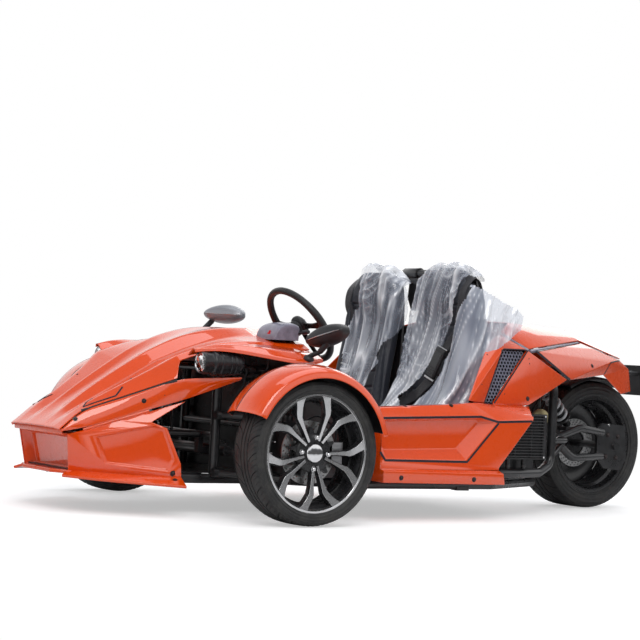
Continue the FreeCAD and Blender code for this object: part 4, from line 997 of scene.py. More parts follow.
# ---------------------------------------------------------------- sills
def sills():
    for side, word in SIDES:
        def s(x, z, y):
            return mm(x, side * y, z)
        low = [s(395, 404, 640), s(-98, 421, 640), s(-188, 403, 640), s(-374, 410, 640)]
        high = [s(395, 440, 627), s(0, 462, 599), s(-90, 470, 588), s(-380, 424, 632)]
        deep = [s(395, 440, 545), s(0, 462, 545), s(-90, 470, 545), s(-380, 424, 545)]
        ring = [s(-98, 413, 640), s(-184, 396, 640), s(-30, 243, 640), s(362, 243, 640), s(386, 272, 640),
                s(386, 396, 640)]
        inner = [s(-94, 405, 610), s(-106, 389, 610), s(0, 286, 608), s(352, 276, 608), s(374, 292, 608),
                 s(376, 386, 610)]
        outline = low + [s(-205, 214, 640), s(-205, 205, 640), s(387, 205, 640)]
        faces = facing(with_hole(outline, ring), Vector((0, side, 0)))
        bands = [[ring[i], ring[(i + 1) % 6], inner[(i + 1) % 6], inner[i]] for i in range(6)]
        faces += facing(bands, Vector((0, side, 0.0))) + facing([inner], Vector((0, side, 0)))
        up = Vector((0, side * 0.4, 1))
        faces += facing([[low[0], low[1], high[1], high[0]], [low[1], low[2], high[2]],
                         [low[1], high[2], high[1]], [low[2], low[3], high[3]],
                         [low[2], high[3], high[2]]], up)
        faces += facing([[high[i], high[i + 1], deep[i + 1], deep[i]] for i in range(3)], up)
        back_out = [high[3], low[3], s(-205, 214, 640), s(-205, 205, 640)]
        back_in = [deep[3], s(-372, 408, 545), s(-205, 214, 545), s(-205, 205, 545)]
        faces += facing([[back_out[i], back_out[i + 1], back_in[i + 1], back_in[i]] for i in range(3)],
                        Vector((-1, 0, -0.6)))
        foot_in = [s(-228, 150, 545), s(387, 155, 545)]
        faces += facing([deep + back_in[1:] + foot_in], Vector((0, -side, 0)))
        step = [s(387, 205, 640), s(-205, 203, 640), s(-211, 192, 664), s(387, 199, 664)]
        nose_line = [s(-222, 147, 660), s(383, 152, 660)]
        faces += facing([step], Vector((0, 0, 1)))
        faces += facing([[step[3], step[2], nose_line[0], nose_line[1]]], Vector((0, side, 0)))
        faces += facing([[nose_line[0], nose_line[1], foot_in[1], foot_in[0]]], Vector((0, 0, -1)))
        faces += facing([[step[1], step[2], nose_line[0], foot_in[0], s(-205, 203, 545)]], Vector((-1, 0, 0)))
        faces += facing([[s(387, 205, 640), step[3], nose_line[1], foot_in[1], s(395, 440, 545),
                          high[0], low[0]]],
                        Vector((1, 0, 0)))
        obj = plated(f"{word}_sill_shell", faces, CHASSIS, f"{word}_sill", thickness=0, bevel=0.0035)
        tree = surface_tree(obj)
        flat = (0, side, 0)
        stripe(LINE_GEO, tree, [ring[5] + Vector((0, 0, 0.004)), ring[0] + Vector((0, 0, 0.004)),
                                ring[1] + Vector((-0.004, 0, 0.002)), s(-366, 405, 640)], flat, 0.009)
        stripe(LINE_GEO, tree, [s(-190, 393, 640), s(-38, 236, 640), s(364, 238, 640), s(391, 270, 640)],
               flat,
               0.009)
        bolts_on(BOLT_GEO, tree, [s(262, 452, 610), s(28, 462, 606)], up, 0.0062)
        bolts_on(BOLT_GEO, tree, [s(300, 172, 662), s(-60, 168, 662)], flat, 0.0065)


# ---------------------------------------------------------------- tail panels
TAIL = {
    "foot": (-72, 590, 480), "slot_low_in": (-187, 548, 470), "slot_low_out": (-232, 548, 470),
    "slot_top_in": (-308, 502, 694), "slot_top_out": (-440, 500, 695), "kink": (-252, 472, 719),
    "ridge": (-366, 405, 757), "corner_low": (-452, 512, 468), "corner_arch": (-706, 456, 580),
    "seam_top": (-497, 492, 693), "seam_low": (-728, 450, 580), "tail_low": (-1108, 242, 607),
    "tail_high": (-1148, 242, 665), "deck_side": (-951, 250, 745), "tip_high": (-1250, 190, 677),
    "ear_high": (-1345, 150, 640), "ear_low": (-1362, 152, 538), "ear_in": (-1272, 186, 525),
    "deck_corner": (-455, 492, 703), "deck_ridge": (-376, 400, 766), "fairing": (-490, 300, 810),
    "roof": (-886, 200, 798), "deck_rear": (-945, 250, 755), "deck_tip": (-1270, 170, 686)}


def hex_mesh(geo, corners, normal, cell=0.0175, wire=0.0026, depth=0.004):
    """Honeycomb of flat hexagon rings inside a four-cornered frame."""
    a, b, _, d = corners
    u = (b - a).normalized()
    v = normal.cross(u).normalized()
    if v.dot(d - a) < 0:
        v = -v
    flat = [((p - a).dot(u), (p - a).dot(v)) for p in corners]

    def inside(x, y):
        sign = None
        for i in range(4):
            (x0, y0), (x1, y1) = flat[i], flat[(i + 1) % 4]
            cross = (x1 - x0) * (y - y0) - (y1 - y0) * (x - x0)
            if sign is None:
                sign = cross > 0
            elif (cross > 0) != sign:
                return False
        return True
    wide, tall = cell * 0.95, cell * 0.55
    rows = int((max(f[1] for f in flat) - min(f[1] for f in flat)) / (tall * 1.5)) + 2
    cols = int((max(f[0] for f in flat) - min(f[0] for f in flat)) / wide) + 2
    x_low, y_low = min(f[0] for f in flat), min(f[1] for f in flat)
    for i in range(-1, rows):
        for j in range(-1, cols):
            x = x_low + (j + (0.5 if i % 2 else 0.0)) * wide
            y = y_low + i * tall * 1.5
            if not inside(x, y):
                continue
            outer, inner = [], []
            for k in range(6):
                t = math.radians(60 * k + 30)
                cx, cy = math.cos(t) * wide / math.sqrt(3), math.sin(t) * tall
                outer.append(a + u * (x + cx * 1.02) + v * (y + cy * 1.02))
                share = 1 - wire / (wide * 0.5)
                inner.append(a + u * (x + cx * share) + v * (y + cy * share))
            for k in range(6):
                m = (k + 1) % 6
                geo.add([outer[k], outer[m], inner[m], inner[k], inner[k] - normal * depth,
                         inner[m] - normal * depth],
                        [(0, 1, 2, 3), (3, 2, 5, 4)])
    return geo


def tails():
    for side, word in SIDES:
        p = {name: mm(x, side * y, z) for name, (x, y, z) in TAIL.items()}
        out = Vector((0.1, side, 0.15))
        slot = [p["slot_low_in"], p["slot_low_out"], p["slot_top_out"], p["slot_top_in"]]
        normal = (slot[1] - slot[0]).cross(slot[3] - slot[0]).normalized()
        if normal.y * side < 0:
            normal = -normal
        floor = [q - normal * 0.016 for q in slot]
        quads = [["foot", "slot_low_in", "slot_top_in"], ["foot", "slot_top_in", "kink"],
                 ["kink", "slot_top_in", "ridge"], ["slot_top_in", "slot_top_out", "ridge"],
                 ["slot_low_out", "corner_low", "corner_arch"],
                 ["slot_low_out", "corner_arch", "slot_top_out"]]
        faces = facing([[p[n] for n in quad] for quad in quads], out)
        well = [[slot[i], slot[(i + 1) % 4], floor[(i + 1) % 4], floor[i]] for i in range(4)]
        middle = sum(slot, Vector()) / 4
        well = [w if (w[1] - w[0]).cross(w[2] - w[1]).dot(middle - w[0]) > 0 else w[::-1] for w in well]
        obj = plated(f"{word}_quarter_shell", faces + well, CHASSIS, f"{word}_quarter_panel", bevel=0.0028)
        # The slot's back plate takes the near-black slot material: painted shade behind the mesh.
        geo = Geo()
        geo.add([q + (q - middle) * 0.07 - normal * 0.004 for q in floor], [(0, 1, 2, 3)])
        geo.build(f"{word}_slot_back", M["slot"], CHASSIS, "frame_black", angle=0)
        mesh = hex_mesh(Geo(), [q + normal * 0.006 for q in floor], normal)
        mesh.build(f"{word}_slot_mesh", M["mesh"], CHASSIS, "black_plastic", angle=0)
        tree = surface_tree(obj)
        frame_line = Geo()
        loop = []
        for i in range(4):
            toward = (middle - slot[i]).normalized()
            loop.append(slot[i] + toward * 0.002)
        for i in range(4):
            a, b = loop[i], loop[(i + 1) % 4]
            away = ((a + b) / 2 - middle).normalized() * 0.0045
            stripe(frame_line, tree, [a + away, b + away], out, 0.006, 0.0008)
        frame_line.build(f"{word}_slot_frame", M["line"], CHASSIS, "frame_black")
        bolts_on(BOLT_GEO, tree, [p["corner_low"] + Vector((0.006, 0, 0.026))], out, 0.0065)
        specks = [(-226, 500, 668), (-160, 555, 545), (-450, 495, 660), (-455, 495, 640),
                  (-300, 530, 510), (-290, 530, 492)]
        for q in specks:
            place, n = on_surface(tree, mm(q[0], side * q[1], q[2]), out)
            BOLT_GEO.dome(place, n, 0.0028, 0.0018, 10, 3)

        faces = [["seam_top", "deck_side", "tip_high"], ["seam_top", "tip_high", "tail_high"],
                 ["seam_top", "tail_high", "seam_low"], ["seam_low", "tail_high", "tail_low"],
                 ["tail_high", "tip_high", "ear_high"], ["tail_high", "ear_high", "tail_low"],
                 ["tail_low", "ear_high", "ear_in"], ["ear_in", "ear_high", "ear_low"]]
        panel = plated(f"{word}_tail_shell", facing([[p[n] for n in f] for f in faces],
                                                    Vector((-0.3, side, 0.5))),
                       CHASSIS, f"{word}_tail_panel", bevel=0.0028)
        tree = surface_tree(panel)
        lean = Vector((0, side, 0.4))
        stripe(LINE_GEO, tree, [p["seam_top"], p["seam_low"]], lean, 0.0085)
        stripe(LINE_GEO, tree, [p["seam_top"] + Vector((0, 0, 0.003)), p["deck_side"]], lean, 0.0085)
        stripe(LINE_GEO, tree, [p["tail_high"], p["tail_low"]], lean, 0.008)
        stripe(LINE_GEO, tree, [p["tail_high"], p["tip_high"]], lean, 0.006)
        bolts_on(BOLT_GEO, tree, [mm(-962, side * 330, 646)], lean, 0.0065)
        arms = Geo().rod(mm(-1100, side * 223.9, 622), mm(-1100, side * 243, 622), 0.005)
        arms.rod(mm(-400, side * 413, 600), mm(-400, side * 507, 600), 0.005)
        arms.build(f"{word}_tail_arms", M["frame"], CHASSIS, "frame_black")
    names = ["deck_corner", "deck_ridge", "fairing", "roof", "deck_rear", "deck_tip"]
    left = [mm(*TAIL[n]) for n in names]
    right = [flip_y(q) for q in left]
    front, top, back = mm(-470, 0, 816), mm(-900, 0, 802), mm(-1310, 0, 688)
    faces = []
    for q in (left, right):
        faces += [[front, q[2], q[3], top], [q[2], q[1], q[0]], [q[2], q[0], q[4]], [q[2], q[4], q[3]],
                  [top, q[3], q[5], back], [q[3], q[4], q[5]]]
    obj = plated("deck_shell", facing(faces, Vector((0, 0, 1))), CHASSIS, "rear_deck", bevel=0.004)
    posts = Geo()
    for x, foot, head in ((-725, 0.6133, 0.80), (-1250, 0.6353, 0.695)):
        for side in (-1, 1):
            posts.rod((x / 1000, side * 0.1, foot), (x / 1000, side * 0.1, head - 0.003), 0.005)
    posts.build("deck_posts", M["frame"], CHASSIS, "frame_black")


SHELF = [(-95, 586, 472), (-232, 548, 466), (-452, 512, 463), (-378, 626, 422)]


def closers():
    """Shelf between the quarter panel and the sill, deck joints, inner panels and the rear mudguard."""
    for side, word in SIDES:
        def s(x, y, z):
            return mm(x, side * y, z)
        shelf = [s(*q) for q in SHELF]
        plated(f"{word}_rear_shelf", facing([[shelf[0], shelf[1], shelf[3]], [shelf[1], shelf[2], shelf[3]]],
                                            Vector((0, 0.3 * side, 1))), CHASSIS, (), thickness=0.004,
                                            bevel=0.0015)
        joint = Geo().tube([s(-372, 401, 756), s(-449, 494, 693)], 0.007)
        joint.tube(arc_points([s(-462, 488, 690), s(-700, 368, 715), s(-935, 250, 741)], 0.05), 0.008)
        joint.build(f"{word}_deck_joint", M["pod"], CHASSIS, "pod_grey")
        inner = Geo()
        inner.box(-0.560, -0.262, *sorted((side * 0.428, side * 0.431)), 0.162, 0.243)
        soften(inner.build(f"{word}_inner_panel", M["frame"], CHASSIS, "frame_black", angle=0), 0.001)
    guard = Geo()
    rows = []
    for step in range(25):
        a = math.radians(58 + 64 * step / 24)
        rows.append([Vector((REAR_X + r * math.cos(a), y, REAR_Z + r * math.sin(a)))
                     for y, r in ((-0.118, 0.296), (-0.110, 0.305), (-0.06, 0.3085), (0, 0.309),
                                  (0.06, 0.3085), (0.110, 0.305), (0.118, 0.296))])
    guard.grid(rows)
    obj = guard.build("rear_mudguard", M["plastic"], CHASSIS, "black_plastic")
    modifier(obj, "SOLIDIFY", thickness=0.003, offset=0.0)


# ---------------------------------------------------------------- wheels
WHEELS = [   # name, x, y and z of the axle (z is the tyre's radius too), outward side, tyre width, body
    ("front_left", FRONT_X, TRACK_HALF, FRONT_Z, 1, 0.175, "front_left_wheel"),
    ("front_right", FRONT_X, -TRACK_HALF, FRONT_Z, -1, 0.175, "front_right_wheel"),
    ("rear", REAR_X, 0.0, REAR_Z, -1, 0.225, "rear_wheel")]


class Polar:
    """Turns (radius, degrees, distance outward along the axle) into a place."""

    def __init__(self, x, y, z, side):
        self.centre, self.side = Vector((x, y, z)), side

    def __call__(self, r, degrees, out):
        a = math.radians(degrees)
        return self.centre + Vector((r * math.cos(a), self.side * out, r * math.sin(a)))


def crown(radius, half, y):
    """Height of the tread over the axle at the distance y from the tyre's centre plane."""
    share = min(1.0, abs(y) / half)
    return radius - 0.0008 * (share / 0.6) ** 2 - 0.0075 * max(0.0, (share - 0.72) / 0.28) ** 2.2


def tread_strip(geo, at, columns, degrees_at, top, floor):
    """A block of tread: columns are distances across, degrees_at gives its two ends at each of them."""
    steps = 3
    verts, faces = [], []
    for y in columns:
        a, b = degrees_at(y)
        for k in range(steps + 1):
            d = a + (b - a) * k / steps
            edge = 0.0007 if k in (0, steps) or y in (columns[0], columns[-1]) else 0.0
            verts.append(at(top(y) - edge, d, y))
    n = len(verts)
    for y in columns:
        a, b = degrees_at(y)
        for k in range(steps + 1):
            verts.append(at(floor(y), a + (b - a) * k / steps, y))
    w = steps + 1
    rows = len(columns)
    for i in range(rows - 1):
        for k in range(steps):
            q = i * w + k
            faces.append((q, q + 1, q + w + 1, q + w))
    ring = [i for i in range(w)] + [i * w + w - 1 for i in range(1, rows)] + \
        [(rows - 1) * w + k for k in range(w - 2, -1, -1)] + [i * w for i in range(rows - 2, 0, -1)]
    for i, a in enumerate(ring):
        b = ring[(i + 1) % len(ring)]
        faces.append((a, b, b + n, a + n))
    geo.add(verts, faces)


def tyre(name, x, y, z, side, width, body):
    at = Polar(x, y, z, side)
    radius = z
    half = width / 2
    bead, tread = half - 0.0155, half - 0.010
    depth = 0.0062

    def top(v):
        return crown(radius, tread, v)

    def floor(v):
        return top(v) - depth * (1 - 0.62 * max(0.0, abs(v) / tread - 0.75) / 0.25)
    wall = [(0.2035, bead), (0.2194, bead), (0.2203, bead + 0.006), (0.2245, half - 0.0068),
            (0.2285, half - 0.0032), (0.2293, half - 0.0008), (0.2322, half - 0.0003),
            (0.2330, half - 0.0018)]
    span = radius - 0.2330
    for share, inset in ((0.18, 0.0012), (0.24, 0.0002), (0.27, 0.0010), (0.46, 0.0022), (0.50, 0.0012),
                         (0.54, 0.0026), (0.66, 0.0052), (0.80, 0.0080)):
        wall.append((0.2330 + span * share, half - inset))
    crown_row = [(floor(v), v) for v in (tread + 0.0005, tread * 0.92, tread * 0.75, tread * 0.5,
                                         tread * 0.25, 0.0)]
    profile = wall + crown_row
    other = [(r, -v) for r, v in reversed(profile[:-1])]
    inner = [(0.2035, -bead + 0.0), (0.2300, -bead + 0.012), (0.2300, bead - 0.012)]
    loop = profile + other + inner[1:]
    geo = Geo().lathe([(r, v * side) for r, v in loop], (x, y, z), (0, 1, 0), 120)
    pitches = 26 if radius < 0.28 else 28
    pitch = 360.0 / pitches
    groove = 0.0042 / radius * DEGREES
    thin = 0.0013 / radius * DEGREES
    turn = 1 if side > 0 else -1
    for half_side in (1, -1):
        y0 = 0.30 * tread

        def sweep(v):
            s = (abs(v) - y0) / (tread - y0)
            return -turn * pitch * 0.85 * (1 - min(1.0, max(0.0, s)) ** 0.45)
        columns = [y0 + (tread - y0) * s for s in (0.0, 0.06, 0.16, 0.32, 0.52, 0.72, 0.88, 1.0)]
        for i in range(pitches):
            base = i * pitch + (0 if half_side > 0 else pitch * 0.5)
            cuts = [0.0, 0.36, 0.68, 1.0]
            for k in range(3):
                lo, hi = cuts[k], cuts[k + 1]
                first = groove / 2 if k == 0 else thin / 2
                last = groove / 2 if k == 2 else thin / 2
                cols = [v * half_side for v in (columns if k != 1 else columns)]

                def ends(v, lo=lo, hi=hi, first=first, last=last, base=base):
                    s = (abs(v) - y0) / (tread - y0)
                    tight = 0.02 if s < 0.45 else 1.0
                    f = first if first > thin else first * tight
                    g = last if last > thin else last * tight
                    return base + lo * pitch + f + sweep(v), base + hi * pitch - g + sweep(v)
                tread_strip(geo, at, cols, ends, top, floor)
    for lo, hi, cuts in ((0.03, 0.25, 26), (-0.25, -0.03, 26)):
        cols = [tread * (lo + (hi - lo) * s) for s in (0.0, 0.1, 0.5, 0.9, 1.0)]
        for i in range(pitches * 2):
            a = i * pitch / 2

            def ends(v, a=a, lo=lo, hi=hi):
                lean = turn * 1.2 * (abs(v) / tread)
                outer = abs(v) / tread > 0.16
                return a + lean, a + pitch / 2 - (thin * 1.2 if outer else 0.0) + lean
            tread_strip(geo, at, cols, ends, top, floor)
    for i in range(90):
        a = i * 4.0
        for v in (half, -half):
            s = 1 if v > 0 else -1
            r0, r1 = 0.2330 + span * 0.60, 0.2330 + span * 0.72
            inset0, inset1 = 0.0040, 0.0062
            pts = [at(r0, a, v - s * inset0), at(r1, a + 0.9, v - s * inset1),
                   at(r1, a + 2.0, v - s * inset1), at(r0, a + 1.1, v - s * inset0)]
            geo.prism(pts, Vector((0, side * s * 0.0009, 0)))
    return geo.build(f"{name}_tyre_shape", M["tyre"], body, "tyre_rubber", f"{name}_tyre", angle=32)


SPOKE = [   # radius share, degrees off the pair's middle, half width, face inset from the lip, depth
    (0.22, 10.0, 0.0050, 0.0165, 0.020), (0.40, 11.0, 0.0056, 0.0130, 0.021),
    (0.56, 11.4, 0.0075, 0.0098, 0.022),
    (0.68, 11.6, 0.0105, 0.0076, 0.023), (0.74, 13.2, 0.0118, 0.0062, 0.024),
    (0.84, 16.6, 0.0125, 0.0040, 0.026),
    (0.92, 19.0, 0.0150, 0.0020, 0.028), (0.955, 19.8, 0.0185, 0.0011, 0.030),
    (0.985, 20.2, 0.0240, 0.0006, 0.024)]


def rim(name, x, y, z, side, width, body):
    at = Polar(x, y, z, side)
    edge = width / 2 - 0.0157
    lip = edge + 0.005
    geo = Geo()
    geo.slot_now = 0
    ring = [(0.2188, edge + 0.0008), (0.2190, lip - 0.0010), (0.2180, lip), (0.2110, lip + 0.0002),
            (0.2098, lip - 0.0012)]
    geo.lathe([(r, v * side) for r, v in ring], (x, y, z), (0, 1, 0), 144, close=False)
    geo.slot_now = 1
    barrel = [(0.2098, lip - 0.0012), (0.2060, lip - 0.010), (0.1985, lip - 0.020), (0.1962, lip - 0.034),
              (0.1925, lip - 0.052), (0.1850, lip - 0.060), (0.1850, -edge + 0.042), (0.1955, -edge + 0.030),
              (0.1975, -edge + 0.008), (0.2030, -lip + 0.0010), (0.2130, -lip), (0.2190, -lip + 0.001),
              (0.2188, -edge), (0.2032, -edge), (0.2030, -edge + 0.02), (0.1965, -edge + 0.035),
              (0.1900, -edge + 0.046), (0.1900, lip - 0.064), (0.2030, lip - 0.04), (0.2032, edge),
              (0.2188, edge + 0.0008)]
    geo.lathe([(r, v * side) for r, v in barrel], (x, y, z), (0, 1, 0), 96, close=False)
    face_of = 0.219
    for pair in range(5):
        middle = 61.3 + 72 * pair if side > 0 else 118.7 + 72 * pair
        middle = 180 - middle
        for hand in (1, -1):
            rows = []
            path = [at(face_of * r, middle + hand * off, 0) for r, off, *_ in SPOKE]
            for i, (r, off, half, inset, depth) in enumerate(SPOKE):
                ahead = (path[min(i + 1, len(path) - 1)] - path[max(i - 1, 0)]).normalized()
                across = ahead.cross(Vector((0, 1, 0))).normalized()
                out = Vector((0, side, 0))
                c = path[i]
                f = lip - inset
                rows.append([c - across * (half + 0.0038) + out * (f - depth),
                             c - across * (half + 0.0020) + out * (f - 0.0045),
                             c - across * half + out * (f - 0.0006), c - across * (half - 0.0006) + out * f,
                             c + across * (half - 0.0006) + out * f, c + across * half + out * (f - 0.0006),
                             c + across * (half + 0.0020) + out * (f - 0.0045),
                             c + across * (half + 0.0038) + out * (f - depth)])
            n = 8
            base = len(geo.v)
            geo.v += [p for row in rows for p in row]
            for i in range(len(rows) - 1):
                for j in range(n):
                    k = (j + 1) % n
                    geo.f.append((base + i * n + j, base + i * n + k, base + (i + 1) * n + k,
                                  base + (i + 1) * n + j))
                    geo.m.append(0 if j in (2, 3, 4) else 1)
            for end in (0, len(rows) - 1):
                geo.f.append(tuple(base + end * n + j for j in range(n)))
                geo.m.append(1)
    geo.slot_now = 1
    hub_face = lip - 0.0175
    hub = [(0.017, hub_face - 0.05), (0.017, hub_face - 0.002), (0.034, hub_face),
           (0.0365, hub_face - 0.004), (0.050, hub_face - 0.0042), (0.070, hub_face - 0.006),
           (0.074, hub_face - 0.010), (0.073, hub_face - 0.030), (0.061, hub_face - 0.045),
           (0.061, hub_face - 0.052)]
    geo.lathe([(r, v * side) for r, v in hub], (x, y, z), (0, 1, 0), 64)
    for k in range(5):
        a = 180 - (61.3 + 72 * k if side > 0 else 118.7 + 72 * k) + 36
        pts = [at(0.060, a - 16, hub_face - 0.012), at(0.098, a - 2.5, hub_face - 0.012),
               at(0.098, a + 2.5, hub_face - 0.012), at(0.060, a + 16, hub_face - 0.012)]
        geo.prism(pts, Vector((0, -side * 0.02, 0)))
    geo.slot_now = 2
    cap = [(0.0, hub_face + 0.0075), (0.012, hub_face + 0.0073), (0.026, hub_face + 0.0058),
           (0.0325, hub_face + 0.0035), (0.0348, hub_face + 0.0005), (0.0352, hub_face - 0.006)]
    geo.lathe([(max(r, 0.0002), v * side) for r, v in cap], (x, y, z), (0, 1, 0), 48, close=False)
    for k in range(4):
        a = k * 90 + (4 if side > 0 else -4)
        foot = at(0.0585, a, hub_face - 0.006)
        out = Vector((0, side, 0))
        geo.hex_nut(foot, out, 0.0105, 0.011)
        geo.dome(foot + out * 0.011, out, 0.0086, 0.0075, 16, 5)
    geo.slot_now = 0
    stem = at(0.2005, 12, lip - 0.018)
    inward = (Vector((x, stem.y, z)) - stem).normalized()
    geo.rod(stem, stem + Vector((0, side * 0.019, 0)) + inward * 0.009, 0.0028, 12)
    obj = geo.build(f"{name}_rim_shape", [M["alloy"], M["pocket"], M["chrome"]], body, "machined_alloy",
                    f"{name}_rim",
                    angle=32)
    return obj


def drilled_disc(name, centre, side, body, r0, r1, y0, y1, node):
    """Brake disc with rows of round holes, and a ring of six bolts."""
    x, y, z = centre
    at = Polar(x, y, z, side)
    geo = Geo()
    cells, rows = 30, 3
    for i in range(cells):
        for j in range(rows):
            ra = r0 + (r1 - r0) * (0.34 + 0.62 * j / rows)
            rb = r0 + (r1 - r0) * (0.34 + 0.62 * (j + 1) / rows)
            a0, a1 = 360 / cells * (i + j / 3), 360 / cells * (i + 1 + j / 3)
            am, rm = (a0 + a1) / 2, (ra + rb) / 2
            square = [(ra, a0), (ra, am), (ra, a1), (rm, a1), (rb, a1), (rb, am), (rb, a0), (rm, a0)]
            hole = 0.0036
            angles = [225, 270, 315, 0, 45, 90, 135, 180]
            circle = [(rm + hole * math.sin(math.radians(t)),
                       am + math.degrees(hole * math.cos(math.radians(t)) / rm))
                      for t in angles]
            for level, flip in ((y1, False), (y0, True)):
                verts = [at(r, a, level) for r, a in square + circle]
                faces = [(k, (k + 1) % 8, 8 + (k + 1) % 8, 8 + k) for k in range(8)]
                geo.add(verts, [f[::-1] for f in faces] if flip else faces)
            verts = [at(r, a, y1) for r, a in circle] + [at(r, a, y0) for r, a in circle]
            geo.add(verts, [(k, (k + 1) % 8, 8 + (k + 1) % 8, 8 + k) for k in range(8)])
    for lo, hi in ((r0, r0 + (r1 - r0) * 0.34), (r0 + (r1 - r0) * 0.96, r1)):
        geo.lathe([(lo, y0 * side), (lo, y1 * side), (hi, y1 * side), (hi, y0 * side)], centre, (0, 1, 0), 96)
    geo.build(f"{name}_disc_shape", M["disc"], body, "disc_steel", node, angle=30)
    hat = Geo()
    for k in range(6):
        hat.bolt(at(r0 + 0.009, 30 + 60 * k, y1), (0, side, 0), 0.0045)
    hat.build(f"{name}_disc_bolts", M["steel"], body, "disc_steel")


def wheels():
    for spec in WHEELS:
        tyre(*spec)
        rim(*spec)
    for side, word in SIDES:
        centre = (FRONT_X, side * TRACK_HALF, FRONT_Z)
        drilled_disc(f"front_{word}", centre, side, f"front_{word}_wheel", 0.0623, 0.118, 0.0115, 0.0175,
                     f"front_{word}_brake_disc")
        caliper(side, word)
    dish()
    drilled_disc("rear", (REAR_X, 0, REAR_Z), 1, "rear_wheel", 0.0623, 0.110, -0.0285, -0.0225,
                 "rear_brake_disc")


def dish():
    """Pressed closing plate behind the rear wheel's spokes, with a ring of rivets."""
    geo = Geo()
    centre = (REAR_X, 0, REAR_Z)
    profile = [(0.066, -0.0560), (0.084, -0.0560), (0.092, -0.0610), (0.158, -0.0630), (0.168, -0.0570),
               (0.1925, -0.0570), (0.1925, -0.0595), (0.169, -0.0595), (0.159, -0.0655), (0.091, -0.0635),
               (0.083, -0.0585), (0.066, -0.0585)]
    geo.lathe(profile, centre, (0, 1, 0), 96)
    for k in range(15):
        a = math.radians(24 * k)
        geo.dome((REAR_X + 0.181 * math.cos(a), -0.0570, REAR_Z + 0.181 * math.sin(a)), (0, 1, 0),
                 0.0045, 0.0025, 12, 3)
    geo.build("rear_wheel_dish", M["frame"], "rear_wheel", "frame_black")


def caliper(side, word):
    """Finned brake caliper over the knuckle's plain one, with its hose."""
    body = f"front_{word}_knuckle"
    geo = Geo()
    y0 = TRACK_HALF + 0.0145
    for sign in (1, -1):
        a, b = y0 + sign * 0.0095, y0 + (0.0204 if sign > 0 else -0.0215)
        geo.box(0.665, 0.708, *sorted((side * a, side * b)), 0.229, 0.309)
        for k in range(5):
            z = 0.239 + 0.015 * k
            geo.box(0.668, 0.705, *sorted((side * (b - sign * 0.001),
                                           side * (b + (0.0010 if sign > 0 else -0.003)))), z, z + 0.007)
    geo.box(0.660, 0.6705, *sorted((side * (y0 - 0.0215), side * (y0 + 0.0190))), 0.227, 0.311)
    soften(geo.build(f"{word}_caliper", M["zinc"], body, "knuckle_steel", angle=0), 0.0018, 3)
    hose = arc_points([(0.668, side * 0.735, 0.312), (0.655, side * 0.720, 0.360),
                       (0.690, side * 0.640, 0.405), (0.760, side * 0.640, 0.372)], 0.03)
    Geo().tube(hose, 0.0035).build(f"{word}_brake_hose", M["plastic"], body, "black_plastic")


